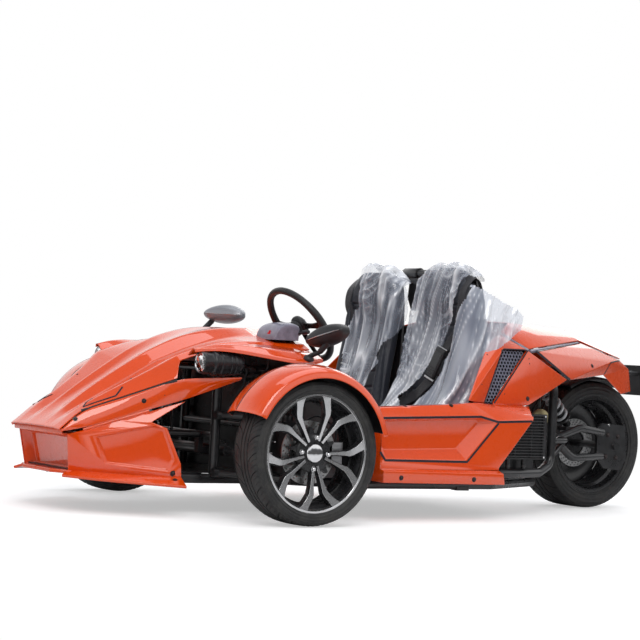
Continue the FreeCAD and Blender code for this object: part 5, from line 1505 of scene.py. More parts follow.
# ---------------------------------------------------------------- lamps
def headlamps():
    for side, word in SIDES:
        y, z, x0 = side * 0.408, 0.578, 0.895
        origin, axis = (x0, y, z), (1, 0, 0)
        geo = Geo()
        can = [(0.0005, 0.0), (0.028, 0.0), (0.033, 0.003), (0.040, 0.010), (0.0455, 0.022),
               (0.0470, 0.030), (0.0470, 0.036), (0.0492, 0.038), (0.0495, 0.047), (0.0472, 0.049),
               (0.0472, 0.055), (0.0492, 0.057), (0.0495, 0.066), (0.0472, 0.068), (0.0472, 0.074),
               (0.0492, 0.076), (0.0495, 0.102), (0.0488, 0.107), (0.0462, 0.109), (0.0458, 0.118),
               (0.0488, 0.120), (0.0497, 0.123), (0.0497, 0.134), (0.0482, 0.138), (0.0445, 0.141),
               (0.0428, 0.146), (0.0426, 0.174), (0.0418, 0.180), (0.0400, 0.1835), (0.0382, 0.1825),
               (0.0372, 0.176)]
        geo.lathe(can, origin, axis, 64, close=False)
        for k in range(12):
            t = math.radians(30 * k + 15)
            c = Vector((x0 + 0.089, y + 0.0497 * math.cos(t), z + 0.0497 * math.sin(t)))
            turn = Matrix.Rotation(t, 3, "X")
            geo.box(c.x - 0.008, c.x + 0.008, c.y - 0.0012, c.y + 0.0008, c.z - 0.0065, c.z + 0.0065, turn, c)
        for k in range(8):
            t = math.radians(45 * k)
            c = Vector((x0 + 0.158, y + 0.0430 * math.cos(t), z + 0.0430 * math.sin(t)))
            turn = Matrix.Rotation(t, 3, "X")
            geo.box(c.x - 0.010, c.x + 0.010, c.y - 0.0012, c.y + 0.0014, c.z - 0.0055, c.z + 0.0055, turn, c)
        soften(geo.build(f"{word}_lamp_can", M["lamp"], CHASSIS, "lamp_black", f"{word}_headlamp",
                         angle=32), 0.0005, 2, 40)
        chrome = Geo().lathe([(0.0384, 0.176), (0.0386, 0.1812), (0.0370, 0.1820), (0.0345, 0.1795),
                              (0.0335, 0.174), (0.0300, 0.156), (0.020, 0.142), (0.008, 0.136),
                              (0.0003, 0.135)],
                             origin, axis, 64, close=False)
        chrome.build(f"{word}_lamp_bowl", M["chrome"], CHASSIS, "lamp_black", angle=40)
        core = Geo().lathe([(0.0195, 0.140), (0.0200, 0.160), (0.0185, 0.1625), (0.0175, 0.158)],
                           origin, axis, 48,
                           close=False)
        core.build(f"{word}_lamp_core", M["lamp"], CHASSIS, "lamp_black", angle=40)
        bulb = Geo().lathe([(0.0178, 0.159), (0.0168, 0.1645), (0.0135, 0.1700), (0.0085, 0.1738),
                            (0.0003, 0.1755)],
                           origin, axis, 48, close=False)
        bulb.build(f"{word}_lamp_eye", M["eye"], CHASSIS, "lamp_black", angle=60)
        glass = Geo().lathe([(0.0350, 0.1775), (0.0340, 0.1795), (0.028, 0.1840), (0.018, 0.1868),
                             (0.0003, 0.1880), (0.0003, 0.1862), (0.018, 0.1850), (0.028, 0.1822),
                             (0.0335, 0.1780)],
                            origin, axis, 64, close=False)
        glass.build(f"{word}_lamp_lens", M["glass"], CHASSIS, "lamp_black", angle=60)
        arm = Geo().tube(arc_points([(0.94, side * 0.365, 0.562), (0.94, side * 0.335, 0.560),
                                     (0.94, side * 0.3115, 0.560)],
                                    0.01), 0.008)
        arm.rod((0.925, y, 0.533), (0.925, y, 0.520), 0.006, bevel=0.001)
        arm.box(0.915, 0.965, *sorted((side * 0.330, y)), 0.5165, 0.5205)
        arm.bolt((0.950, side * 0.345, 0.5205), (0, 0, 1), 0.005)
        soften(arm.build(f"{word}_lamp_arm", M["frame"], CHASSIS, "frame_black"), 0.0008)
        lead = arc_points([(0.900, side * 0.405, 0.578), (0.865, side * 0.400, 0.560),
                           (0.850, side * 0.360, 0.500), (0.880, side * 0.322, 0.430),
                           (0.905, side * 0.320, 0.372)], 0.03)
        Geo().tube(lead, 0.0032).build(f"{word}_lamp_lead", M["plastic"], CHASSIS, "black_plastic")


# ---------------------------------------------------------------- mirrors
# side, middle of the housing, its turn about Z and its tilt, how far out the stalk meets it
MIRROR_HEADS = (
    (1, "left", (0.618, 0.560, 0.708), 20, 13, 0.0), (-1, "right", (0.432, -0.512, 0.788), -28, -3, 0.062))
# in mm: place along the housing, top and foot of the glass side, nose and height of its ridge
MIRROR_STATIONS = [
    (-97, 0, -15, 2, -8), (-90, 12, -25, 12, -8), (-64, 27, -39, 24, -7), (-20, 40, -45, 31, -4),
    (24, 40, -43, 31, -1),
    (62, 32, -34, 28, 2), (86, 20, -21, 20, 4), (97, 7, -7, 6, 2)]


def mirrors():
    for side, word, head, turn, tilt, grip in MIRROR_HEADS:
        turn, tilt, head = math.radians(turn), math.radians(tilt), Vector(head)
        level = Vector((-math.sin(turn), side * math.cos(turn), 0))
        ahead = Vector((math.cos(turn), side * math.sin(turn), 0))
        out = level * math.cos(tilt) + Vector((0, 0, math.sin(tilt)))
        up = Vector((0, 0, math.cos(tilt))) - level * math.sin(tilt)

        def at(p, q, f):
            return head + (out * p + up * q + ahead * f) / 1000

        foot = Vector((0.650, side * 0.500, 0.6105))
        joint = at(grip * 1000, -34, -4)
        neck = foot.lerp(joint, 0.55) + Vector((0, side * 0.004, -0.006))
        geo = Geo()
        path = arc_points([foot, foot + Vector((-0.002, 0, 0.012)), neck, joint], 0.018, 8)
        last = len(path) - 1
        geo.tube(path, [0.0092 + 0.0028 * abs(1 - 2 * i / last) ** 2 for i in range(len(path))], 20)
        geo.lathe([(0.0003, 0.013), (0.011, 0.012), (0.018, 0.007), (0.0205, 0.001), (0.0205, -0.004)],
                  foot + Vector((0, 0, 0.003)),
                  (0.05, 0.45 * side, 1), 32, close=False)
        geo.lathe([(0.0003, 0.009), (0.010, 0.007), (0.0135, 0.0), (0.010, -0.008), (0.0003, -0.010)],
                  joint, up, 24, close=False)
        geo.build(f"{word}_mirror_stalk", M["plastic"], CHASSIS, "black_plastic", f"{word}_mirror", angle=40)
        rows = []
        for p, top, low, nose_f, ridge in MIRROR_STATIONS:
            rows.append([at(p, top * 0.90, -31), at(p, top, -28),
                         at(p, top * 0.95 + ridge * 0.05, nose_f * 0.2 - 4),
                         at(p, top * 0.62 + ridge * 0.38, nose_f * 0.72), at(p, ridge, nose_f),
                         at(p, low * 0.60 + ridge * 0.40, nose_f * 0.66),
                         at(p, low * 0.95 + ridge * 0.05, nose_f * 0.1 - 6),
                         at(p, low, -28), at(p, low * 0.90, -31)])
        n = len(rows[0])
        shell = Geo()
        shell.v = [q for row in rows for q in row]
        for i in range(len(rows) - 1):
            for k in range(n):
                m = (k + 1) % n
                shell.f.append((i * n + k, i * n + m, (i + 1) * n + m, (i + 1) * n + k))
                shell.m.append(0)
        for cap in (tuple(range(n))[::-1], tuple((len(rows) - 1) * n + k for k in range(n))):
            shell.f.append(cap)
            shell.m.append(0)
        obj = shell.build(f"{word}_mirror_shell", M["plastic"] if side > 0 else M["silver"],
                          CHASSIS, "black_plastic",
                          f"{word}_mirror", angle=0)
        crease_edges(obj, lambda a, b: 0.85 if a % n == b % n == 4 else 0.6 if a % n == b % n
                     and a % n in (1, 7) else 0.0)
        smooth(obj.data)
        modifier(obj, "SUBSURF", levels=2, render_levels=2)
        stations = MIRROR_STATIONS[1:-1]
        pane = [at(p * 0.94, top * 0.80, -31.4) for p, top, *_ in stations]
        pane += [at(p * 0.94, low * 0.80, -31.4) for p, _, low, *_ in reversed(stations)]
        glass = Geo().prism(pane, ahead * 0.0015)
        soften(glass.build(f"{word}_mirror_glass", M["mirror"], CHASSIS, "black_plastic", angle=0), 0.0006)
        line = []
        for k in range(25):
            p = -72 + 150 * k / 24
            line.append(at(p, between([(st[0], st[4]) for st in MIRROR_STATIONS], p) + 0.4,
                           between([(st[0], st[3]) for st in MIRROR_STATIONS], p) - 1.4))
        trim = Geo().tube(line, [0.0012 + 0.0014 * math.sin(math.pi * k / 24) for k in range(25)], 8)
        trim.build(f"{word}_mirror_trim", M["steel"], CHASSIS, "black_plastic")


# ---------------------------------------------------------------- steering wheel, column, pod
TILT = math.radians(38)
STEER_C = Vector((0.540, 0.262, 0.745))
STEER_A = Vector((math.cos(TILT), 0, -math.sin(TILT)))
STEER_UP = Vector((math.sin(TILT), 0, math.cos(TILT)))


def steering():
    body, slot = "steering_wheel", "black_plastic"
    ring = Geo()
    verts, count, sides = [], 120, 20
    for i in range(count):
        t = 2 * math.pi * i / count
        out = Vector((0, 1, 0)) * math.cos(t) + STEER_UP * math.sin(t)
        grip = 1.0 + 0.10 * max(0.0, math.cos(2 * t - 0.5)) ** 3
        for k in range(sides):
            a = 2 * math.pi * k / sides
            r = 0.0136 * grip
            verts.append(STEER_C + out * (0.1645 + r * math.cos(a)) + STEER_A * (r * 1.04 * math.sin(a)))
    faces = []
    for i in range(count):
        for k in range(sides):
            j, m = (i + 1) % count, (k + 1) % sides
            faces.append((i * sides + k, i * sides + m, j * sides + m, j * sides + k))
    ring.add(verts, faces)
    ring.build("wheel_rim", M["leather_black"], body, slot, "steering_wheel", angle=60)
    seam = Geo()
    for i in range(150):
        t = 2 * math.pi * i / 150
        out = Vector((0, 1, 0)) * math.cos(t) + STEER_UP * math.sin(t)
        along = Vector((0, -1, 0)) * math.sin(t) + STEER_UP * math.cos(t)
        c = STEER_C + out * (0.1645 - 0.0142)
        seam.rod(c - along * 0.0018 - STEER_A * 0.0016, c + along * 0.0018 + STEER_A * 0.0016, 0.0006, 5)
    seam.build("wheel_seam", M["plastic"], body, slot)
    spokes = Geo()
    for degrees in (0.0, 90.0, 180.0):
        t = math.radians(degrees)
        out = Vector((0, 1, 0)) * math.cos(t) - STEER_UP * math.sin(t)
        wide = out.cross(STEER_A)
        rows = []
        for s in range(9):
            u = s / 8
            r = 0.028 + (0.152 - 0.028) * u
            half = 0.017 - 0.006 * math.sin(math.pi * min(1,
                                                          u * 1.1)) if degrees != 90.0 else 0.015 - 0.004 * u
            rise = STEER_A * (0.004 - 0.010 * u * u + 0.006 * u)
            c = STEER_C + out * r + rise
            rows.append([c - wide * half - STEER_A * 0.003, c - wide * (half - 0.002) - STEER_A * 0.0048,
                         c + wide * (half - 0.002) - STEER_A * 0.0048, c + wide * half - STEER_A * 0.003,
                         c + wide * half + STEER_A * 0.003, c - wide * half + STEER_A * 0.003])
        base = len(spokes.v)
        spokes.v += [p for row in rows for p in row]
        for i in range(8):
            for k in range(6):
                m = (k + 1) % 6
                spokes.f.append((base + i * 6 + k, base + i * 6 + m, base + (i + 1) * 6 + m,
                                 base + (i + 1) * 6 + k))
                spokes.m.append(0)
        for i in (0, 8):
            spokes.f.append(tuple(base + i * 6 + k for k in range(6)))
            spokes.m.append(0)
    soften(spokes.build("wheel_spokes", M["pocket"], body, slot, angle=30), 0.0012, 3)
    hub = Geo()
    hub.lathe([(0.0003, -0.0175), (0.018, -0.0170), (0.029, -0.0150), (0.0365, -0.0105), (0.0400, -0.004),
               (0.0410, 0.004), (0.0385, 0.012), (0.0330, 0.016), (0.0320, 0.0330), (0.0003, 0.0340)],
              STEER_C, STEER_A, 64, close=False)
    hub.build("wheel_pad", M["plastic"], body, slot, angle=40)
    rivets = Geo()
    for k in range(6):
        t = math.radians(60 * k + 30)
        out = Vector((0, 1, 0)) * math.cos(t) + STEER_UP * math.sin(t)
        rivets.dome(STEER_C + out * 0.0325 - STEER_A * 0.0133, -STEER_A + out * 0.45, 0.0032, 0.0018, 10, 3)
    rivets.build("wheel_rivets", M["steel"], body, slot)
    stalks = Geo()
    for s in (1, -1):
        root = STEER_C + STEER_A * 0.062
        tip = root + Vector((0, s * 0.135, 0)) + STEER_UP * 0.012
        stalks.tube(arc_points([root, root + Vector((0, s * 0.05, 0.0)), tip], 0.03), 0.0058, 12)
        stalks.rod(tip - Vector((0, s * 0.03, 0)) - STEER_UP * 0.004,
                   tip + Vector((0, s * 0.014, 0)) + STEER_UP * 0.001,
                   0.0098, 16, 0.0082, 0.003)
    shroud = [(0.0170, 0.038), (0.0300, 0.042), (0.0340, 0.052), (0.0340, 0.082), (0.0280, 0.094),
              (0.0175, 0.098)]
    stalks.lathe(shroud, STEER_C, STEER_A, 40, close=False)
    soften(stalks.build("column_stalks", M["plastic"], CHASSIS, slot, angle=32), 0.0008)


def pod():
    """Domed instrument housing ahead of the steering wheel, with its dark face towards the driver."""
    profile = [(-52, -30), (-56, 18), (-54, 30), (-44, 38), (-14, 41.5), (16, 38), (44, 22),
               (58, -8), (60, -30)]
    spans = [(-0.074, 0.50), (-0.0735, 0.80), (-0.062, 0.93), (-0.034, 0.99), (0.0, 1.0), (0.034, 0.99),
             (0.062, 0.93), (0.0735, 0.80), (0.074, 0.50)]
    rows = []
    for dy, scale in spans:
        rows.append([Vector((0.642 + a * (0.80 + 0.20 * scale) / 1000, 0.262 + dy,
                             0.710 + (b * scale if b > 0 else b) / 1000)) for a, b in profile])
    geo = Geo().grid(rows)
    for i in (0, len(rows) - 1):
        n = len(profile)
        geo.f.append(tuple(i * n + k for k in range(n)))
        geo.m.append(0)
    obj = geo.build("pod_shell", M["pod"], CHASSIS, "pod_grey", "instrument_pod", angle=0)
    smooth(obj.data)
    modifier(obj, "SUBSURF", levels=2, render_levels=2)
    face = Geo()
    outline = [(math.cos(math.radians(t)), math.sin(math.radians(t))) for t in range(0, 360, 15)]
    lens = [Vector((0.5866, 0.262 + 0.056 * c, 0.716 + 0.021 * s)) for c, s in outline]
    face.prism(lens, (0.003, 0, 0))
    soften(face.build("pod_screen", M["screen"], CHASSIS, "pod_grey", angle=0), 0.0008)
    bezel = Geo()
    rim_line = [Vector((0.5866, 0.262 + 0.058 * c, 0.716 + 0.023 * s)) for c, s in outline]
    bezel.tube(rim_line, 0.0022, 8, closed=True)
    bezel.build("pod_bezel", M["plastic"], CHASSIS, "black_plastic")
    mark = Geo()
    mark.box(0.6925, 0.6990, 0.272, 0.292, 0.7005, 0.7085)
    mark.box(0.6935, 0.6995, 0.281, 0.289, 0.7080, 0.7160)
    soften(mark.build("pod_lamp", M["red"], CHASSIS, "pod_grey", angle=0), 0.0015, 3)


# ---------------------------------------------------------------- dampers
def damper(name, foot, head, coil_r, body_r, turns, eye, node, wire=0.0052):
    foot, head = Vector(foot), Vector(head)
    d = (head - foot).normalized()
    length = (head - foot).length
    geo = Geo()
    eye = Vector(eye)
    for end in (foot, head):
        geo.lathe([(0.0065, -0.0125), (0.0135, -0.0125), (0.0140, -0.011), (0.0140, 0.011),
                   (0.0135, 0.0125), (0.0065, 0.0125)],
                  end, eye, 32)
        geo.rod(end - eye * 0.019, end + eye * 0.019, 0.0058, 16, bevel=0.001)
        geo.hex_nut(end + eye * 0.0125, eye, 0.0105, 0.0065)
        geo.hex_nut(end - eye * 0.0190, eye, 0.0105, 0.0065)
    low = foot + d * 0.012
    geo.rod(low, foot + d * length * 0.52, body_r * 0.82, 32, bevel=0.002)
    geo.rod(foot + d * length * 0.50, head - d * 0.012, 0.0065, 20)
    seat_low, seat_high = foot + d * length * 0.14, head - d * 0.034
    geo.lathe([(body_r * 0.80, 0.0), (coil_r - 0.001, 0.0), (coil_r, 0.0015), (coil_r, 0.0060),
               (coil_r - 0.002, 0.0078), (body_r * 0.80, 0.0078)], seat_low - d * 0.008, d, 40)
    for k in range(8):
        u, w = unit_frame(d)
        t = math.radians(45 * k)
        c = seat_low - d * 0.0042 + (u * math.cos(t) + w * math.sin(t)) * (coil_r - 0.0006)
        geo.rod(c, c + (u * math.cos(t) + w * math.sin(t)) * 0.0012, 0.0028, 8)
    geo.lathe([(0.0065, 0.0), (coil_r - 0.002, 0.0), (coil_r, 0.0018), (coil_r - 0.001, 0.0065),
               (0.018, 0.012), (0.010, 0.022), (0.0065, 0.022)], seat_high, d, 40)
    soften(geo.build(f"{name}_damper", M["black"], CHASSIS, "spring_grey", node, angle=32), 0.0006, 2, 45)
    spring = Geo().tube(helix(seat_low + d * 0.003, seat_high - d * 0.003, coil_r - wire - 0.0005,
                              turns, 24), wire, 10)
    spring.build(f"{name}_spring", M["spring"], CHASSIS, "spring_grey", angle=60)
    if True:
        cup = Geo().lathe([(0.0065, 0.0), (0.0170, 0.002), (0.0185, 0.008), (0.0150, 0.014),
                           (0.0175, 0.020), (0.0145, 0.026), (0.0165, 0.032), (0.0130, 0.038),
                           (0.0068, 0.042)], seat_high - d * 0.045,
                           d, 28, close=False)
        cup.build(f"{name}_bump_stop", M["plastic"], CHASSIS, "black_plastic", angle=50)


def dampers():
    for side, word in SIDES:
        damper(f"front_{word}", (0.8, side * 0.480, 0.1793), (0.8, side * 0.3253, 0.554), 0.0318, 0.021, 8.5,
               (1, 0, 0), f"front_{word}_shock")
        damper(f"rear_{word}", (-0.935, side * 0.205, 0.3853), (-0.725, side * 0.250, 0.5727),
               0.0338, 0.022, 6.0,
               (0, 1, 0), f"rear_{word}_shock", wire=0.0062)


# ---------------------------------------------------------------- radiators
def radiators():
    for side, word in SIDES:
        core = Geo()
        y0, y1 = sorted((side * 0.458, side * 0.486))
        for k in range(44):
            z = 0.250 + 0.004 * k
            core.box(-0.552, -0.343, y0, y1, z, z + 0.0011)
        for k in range(27):
            x = -0.551 + 0.0079 * k
            core.box(x, x + 0.0018, y0 + 0.001, y1 - 0.001, 0.247, 0.427)
        core.build(f"{word}_radiator_core", M["radiator"], CHASSIS, "radiator_alloy", f"{word}_radiator",
                   angle=0)
        tank = Geo()
        for xa, xb in ((-0.575, -0.552), (-0.343, -0.321)):
            tank.box(xa, xb, *sorted((side * 0.453, side * 0.491)), 0.241, 0.4295)
        tank.box(-0.556, -0.340, *sorted((side * 0.455, side * 0.489)), 0.4255, 0.4295)
        tank.box(-0.556, -0.340, *sorted((side * 0.455, side * 0.489)), 0.2405, 0.2475)
        for x, y in ((-0.480, 0.460), (-0.380, 0.479)):
            tank.rod((x, side * y, 0.1995), (x, side * y, 0.242), 0.009, bevel=0.001)
            tank.dome((x, side * (y + 0.002), 0.2125), (0, side, 0.2), 0.0115, 0.010, 18, 5)
        soften(tank.build(f"{word}_radiator_tanks", M["black"], CHASSIS, "radiator_alloy",
                          f"{word}_radiator", angle=0),
               0.0025, 3)
        guard = Geo()
        for k in range(15):
            z = 0.2535 + 0.0122 * k
            guard.rod((-0.560, side * 0.4935, z), (-0.335, side * 0.4935, z), 0.0021, 8)
        for x in (-0.558, -0.492, -0.405, -0.337):
            guard.rod((x, side * 0.4925, 0.246), (x, side * 0.4925, 0.430), 0.0021, 8)
        guard.build(f"{word}_radiator_guard", M["frame"], CHASSIS, "frame_black", angle=60)
        screws = Geo()
        for x in (-0.565, -0.332):
            for z in (0.250, 0.421):
                screws.bolt((x, side * 0.491, z), (0, side, 0), 0.0042)
        screws.build(f"{word}_radiator_screws", M["chrome"], CHASSIS, "radiator_alloy")
        hose = Geo()
        path = arc_points([(-0.560, side * 0.440, 0.405), (-0.560, side * 0.400, 0.405),
                           (-0.520, side * 0.330, 0.430), (-0.480, side * 0.215, 0.440)], 0.05, 8)
        hose.tube(path, 0.0155, 16)
        path = arc_points([(-0.345, side * 0.440, 0.262), (-0.345, side * 0.390, 0.262),
                           (-0.390, side * 0.300, 0.240), (-0.430, side * 0.215, 0.235)], 0.05, 8)
        hose.tube(path, 0.0155, 16)
        for p in ((-0.560, 0.4515, 0.405), (-0.345, 0.4515, 0.262)):
            hose.rod((p[0], side * 0.436, p[2]), (p[0], side * 0.4535, p[2]), 0.0135, 20)
        hose.build(f"{word}_radiator_hoses", M["hose"], CHASSIS, "black_plastic", angle=50)
        clamps = Geo()
        for p in ((-0.560, 0.440, 0.405), (-0.345, 0.440, 0.262)):
            clamps.lathe([(0.0157, -0.0045), (0.0166, -0.0045), (0.0166, 0.0045), (0.0157, 0.0045)],
                         (p[0], side * p[1], p[2]),
                         (0, 1, 0), 32)
        clamps.build(f"{word}_radiator_clamps", M["steel"], CHASSIS, "radiator_alloy", angle=30)


# ---------------------------------------------------------------- rear carrier details
def rear_details():
    for side in (1, -1):
        word = "left" if side > 0 else "right"
        geo = Geo()
        y = side * 0.247
        for x, z in ((-1.147, 0.341), (-1.208, 0.335), (-1.139, 0.244), (-1.200, 0.240)):
            geo.rod((x, y, z), (x, y + side * 0.0022, z), 0.0115, 24, bevel=0.0006)
            geo.dome((x, y + side * 0.0022, z), (0, side, 0), 0.0085, 0.0072, 18, 5)
        geo.build(f"{word}_hub_bolts", M["bolt"], CHASSIS, "frame_black")
        nuts = Geo()
        nuts.rod((-0.845, side * 0.262, 0.315), (-0.845, side * 0.2655, 0.315), 0.016, 28, bevel=0.0008)
        nuts.hex_nut((-0.845, side * 0.2655, 0.315), (0, side, 0), 0.0115, 0.009)
        nuts.hex_nut((-1.150, side * 0.2468, 0.392 - 0.006), (0, side, 0), 0.006, 0.005)
        nuts.build(f"{word}_pivot_nut", M["chrome"], CHASSIS, "frame_black")
    horn = Geo()
    c, n = Vector((-0.735, 0.262, 0.410)), Vector((0.55, 1.0, 0.10)).normalized()
    horn.lathe([(0.0003, 0.0075), (0.010, 0.0072), (0.013, 0.004), (0.030, 0.0035), (0.036, 0.0015),
                (0.0375, -0.003), (0.036, -0.008), (0.020, -0.012), (0.014, -0.028),
                (0.0003, -0.029)], c, n, 48, close=False)
    horn.build("horn", M["brass"], CHASSIS, "black_plastic", angle=30)
    arm = Geo().tube(arc_points([c - n * 0.027, c - n * 0.040, (-0.725, 0.262, 0.48),
                                 (-0.7255, 0.262, 0.588)], 0.02), 0.0045)
    arm.build("horn_arm", M["frame"], CHASSIS, "frame_black")
    plate = Geo()
    plate.prism([Vector((-0.270, y, z)) for y, z in ((-0.115, 0.985), (0.050, 0.985), (0.062, 0.930),
                                                     (0.040, 0.845),
                                                     (-0.095, 0.845), (-0.125, 0.900))],
                                                     Vector((-0.004, 0, 0)))
    soften(plate.build("hoop_plate", M["frame"], CHASSIS, "frame_black", angle=0), 0.0015)
    for y, z in ((-0.095, 0.965), (0.035, 0.965), (-0.080, 0.865), (0.025, 0.865)):
        BOLT_GEO.bolt((-0.270, y, z), (1, 0, 0), 0.005)


# ---------------------------------------------------------------- seats
# All seat shapes are laid out on the side profile of a seat: a line from behind the head, down the back,
# along the cushion and over its front edge, with the half width at each height.
BACK_LINE = [(-0.240, 1.006), (-0.212, 1.024), (-0.185, 1.010), (-0.173, 0.962), (-0.160, 0.800),
             (-0.150, 0.700), (-0.120, 0.540), (-0.100, 0.420), (-0.090, 0.352)]
BASE_LINE = [(-0.070, 0.325), (0.020, 0.318), (0.160, 0.336), (0.285, 0.351), (0.326, 0.338), (0.341, 0.290),
             (0.341, 0.250)]
FILM_LINE = [(-0.266, 0.965), (-0.246, 1.008), (-0.212, 1.026), (-0.176, 1.004), (-0.160, 0.900),
             (-0.143, 0.751), (-0.112, 0.610), (-0.070, 0.490), (0.005, 0.395), (0.130, 0.356),
             (0.270, 0.368), (0.333, 0.358), (0.353, 0.300), (0.356, 0.235)]
WIDTHS = [(0.0, 0.190), (0.82, 0.190), (0.90, 0.181), (0.955, 0.164), (0.995, 0.135), (1.020, 0.100),
          (1.04, 0.085)]
SEAT_MID = 0.262


def along(line, count):
    """Evenly spaced points of a smooth curve through line, with the unit normal that points up or forward."""
    fine = []
    ext = [line[0]] + list(line) + [line[-1]]
    for p0, p1, p2, p3 in zip(ext, ext[1:], ext[2:], ext[3:]):
        for k in range(12):
            t = k / 12
            fine.append(tuple(0.5 * (2 * b + (c - a) * t + (2 * a - 5 * b + 4 * c - d) * t * t
                                     + (3 * b - a - 3 * c + d) * t ** 3) for a, b, c,
                                     d in zip(p0, p1, p2, p3)))
    fine.append(line[-1])
    sums = [0.0]
    for a, b in zip(fine, fine[1:]):
        sums.append(sums[-1] + math.dist(a, b))
    out, j = [], 0
    for i in range(count):
        want = sums[-1] * i / (count - 1)
        while j < len(fine) - 2 and sums[j + 1] < want:
            j += 1
        t = (want - sums[j]) / max(1e-9, sums[j + 1] - sums[j])
        out.append(Vector((fine[j][0] + (fine[j + 1][0] - fine[j][0]) * t,
                           fine[j][1] + (fine[j + 1][1] - fine[j][1]) * t)))
    ends = [out[min(i + 1, count - 1)] - out[max(i - 1, 0)] for i in range(count)]
    return [(p, Vector((-d.y, d.x)).normalized()) for p, d in zip(out, ends)], sums[-1]


def between(table, x):
    if x <= table[0][0]:
        return table[0][1]
    for (a, u), (b, v) in zip(table, table[1:]):
        if x <= b:
            return u + (v - u) * (x - a) / (b - a)
    return table[-1][1]


def step(a, b, x):
    t = max(0.0, min(1.0, (x - a) / (b - a)))
    return t * t * (3 - 2 * t)


def pad_form(line, recess, depth, count, across, is_back):
    """Closed plain form of a pad, a little smaller than the space it fills."""
    rows, _ = along(line, count)
    top, low = [], []
    for i, (p, n) in enumerate(rows):
        w = between(WIDTHS, p.y) if is_back else 0.186 - 0.012 * step(0.25, 0.34, p.x)
        fade = step(0.0, 0.10, i / (count - 1)) * step(1.0, 0.90, i / (count - 1))
        head = 1.0 - step(0.80, 0.90, p.y) if is_back else 1.0 - step(0.24, 0.33, p.x)
        a_row, b_row = [], []
        for k in range(across):
            a = -w + 2 * w * k / (across - 1)
            edge = 1.0 - (abs(a) / w) ** 8
            r = recess * head * (1.0 - step(w - 0.082, w - 0.050, abs(a)))
            crown = 0.010 * (1.0 - (a / w) ** 2) * head
            lift = -r + crown - 0.018 * (1.0 - edge) - 0.004 * (1.0 - fade)
            q = p + n * lift
            b = p - n * (depth * (0.55 + 0.45 * min(1.0, fade + 0.3)))
            a_row.append(Vector((q.x, a, q.y)))
            b_row.append(Vector((b.x, a * 0.97, b.y)))
        top.append(a_row)
        low.append(b_row)
    n = across
    verts = [p for row in top for p in row] + [p for row in low for p in row]
    off = count * across
    faces = []
    for i in range(count - 1):
        for k in range(n - 1):
            q = (i * n + k, i * n + k + 1, (i + 1) * n + k + 1, (i + 1) * n + k)
            faces.append(q)
            faces.append(tuple(off + v for v in reversed(q)))
    for i in range(count - 1):
        for k in (0, n - 1):
            a, b = i * n + k, (i + 1) * n + k
            q = (a, b, off + b, off + a)
            faces.append(q if k == 0 else q[::-1])
    for i in (0, count - 1):
        for k in range(n - 1):
            a, b = i * n + k, i * n + k + 1
            q = (a, off + a, off + b, b)
            faces.append(q if i == 0 else q[::-1])
    return verts, faces


def inflate(name, verts, faces, pressure, cap, voxel=0.006):
    """Voxel mesh blown up by a short cloth simulation; gives the finished mesh."""
    scene = bpy.context.scene
    data = bpy.data.meshes.new(name)
    data.from_pydata([tuple(v) for v in verts], [], faces)
    obj = bpy.data.objects.new(name, data)
    scene.collection.objects.link(obj)
    remesh = modifier(obj, "REMESH", mode="VOXEL", voxel_size=voxel)
    deps = bpy.context.evaluated_depsgraph_get()
    solid = bpy.data.meshes.new_from_object(obj.evaluated_get(deps))
    obj.modifiers.remove(remesh)
    obj.data = solid
    bpy.data.meshes.remove(data)
    rest = [v.co.copy() for v in solid.vertices]
    cloth = obj.modifiers.new("cloth", "CLOTH")
    cloth.settings.quality = 5
    cloth.settings.mass = 0.25
    cloth.settings.tension_stiffness = cloth.settings.compression_stiffness = 14.0
    cloth.settings.shear_stiffness = 8.0
    cloth.settings.bending_stiffness = 0.6
    cloth.settings.use_pressure = True
    cloth.settings.uniform_pressure_force = pressure
    cloth.settings.effector_weights.gravity = 0.0
    cloth.collision_settings.use_collision = False
    cloth.point_cache.frame_start, cloth.point_cache.frame_end = 1, 20
    for frame_no in range(1, 21):
        scene.frame_set(frame_no)
    deps = bpy.context.evaluated_depsgraph_get()
    blown = bpy.data.meshes.new_from_object(obj.evaluated_get(deps))
    obj.modifiers.clear()
    for v, a in zip(blown.vertices, rest):
        move = v.co - a
        if move.length > cap:
            v.co = a + move * (cap / move.length)
    obj.data = blown
    scene.frame_set(1)
    return obj


def sewn(obj, seams, width=0.0055, deep=0.0075):
    """One subdivision, then seams pressed into the face. seams: functions giving the distance to a seam."""
    sub = modifier(obj, "SUBSURF", levels=1, render_levels=1)
    deps = bpy.context.evaluated_depsgraph_get()
    fine = bpy.data.meshes.new_from_object(obj.evaluated_get(deps))
    obj.modifiers.remove(sub)
    normals = [v.normal.copy() for v in fine.vertices]
    for v, n in zip(fine.vertices, normals):
        push = 0.0
        for gap, size in seams:
            d = gap(v.co, n)
            if d is not None:
                push = max(push, size * math.exp(-(d / width) ** 2))
        v.co -= n * push * deep
    obj.data = fine
    smooth(fine)
    return obj


def facing_up_or_front(n):
    return n.x > 0.25 or n.z > 0.35


def back_seams():
    def bolster(p, n):
        return abs(abs(p.y) - (between(WIDTHS,
                                       p.z) - 0.066)) if p.z < 0.86 and facing_up_or_front(n) else None

    def cross(z0, drop):
        def gap(p, n):
            inside = abs(p.y) < between(WIDTHS, p.z) - 0.064
            return abs(p.z - (z0 - drop * (1 - (p.y / 0.13) ** 2))) if inside and n.x > 0.2 else None
        return gap

    return [(bolster, 1.0)] + [(cross(z, 0.012), 0.8) for z in (0.44, 0.51, 0.58, 0.65, 0.72,
                                                                0.79)] + [(cross(0.865, 0.0), 0.9)]


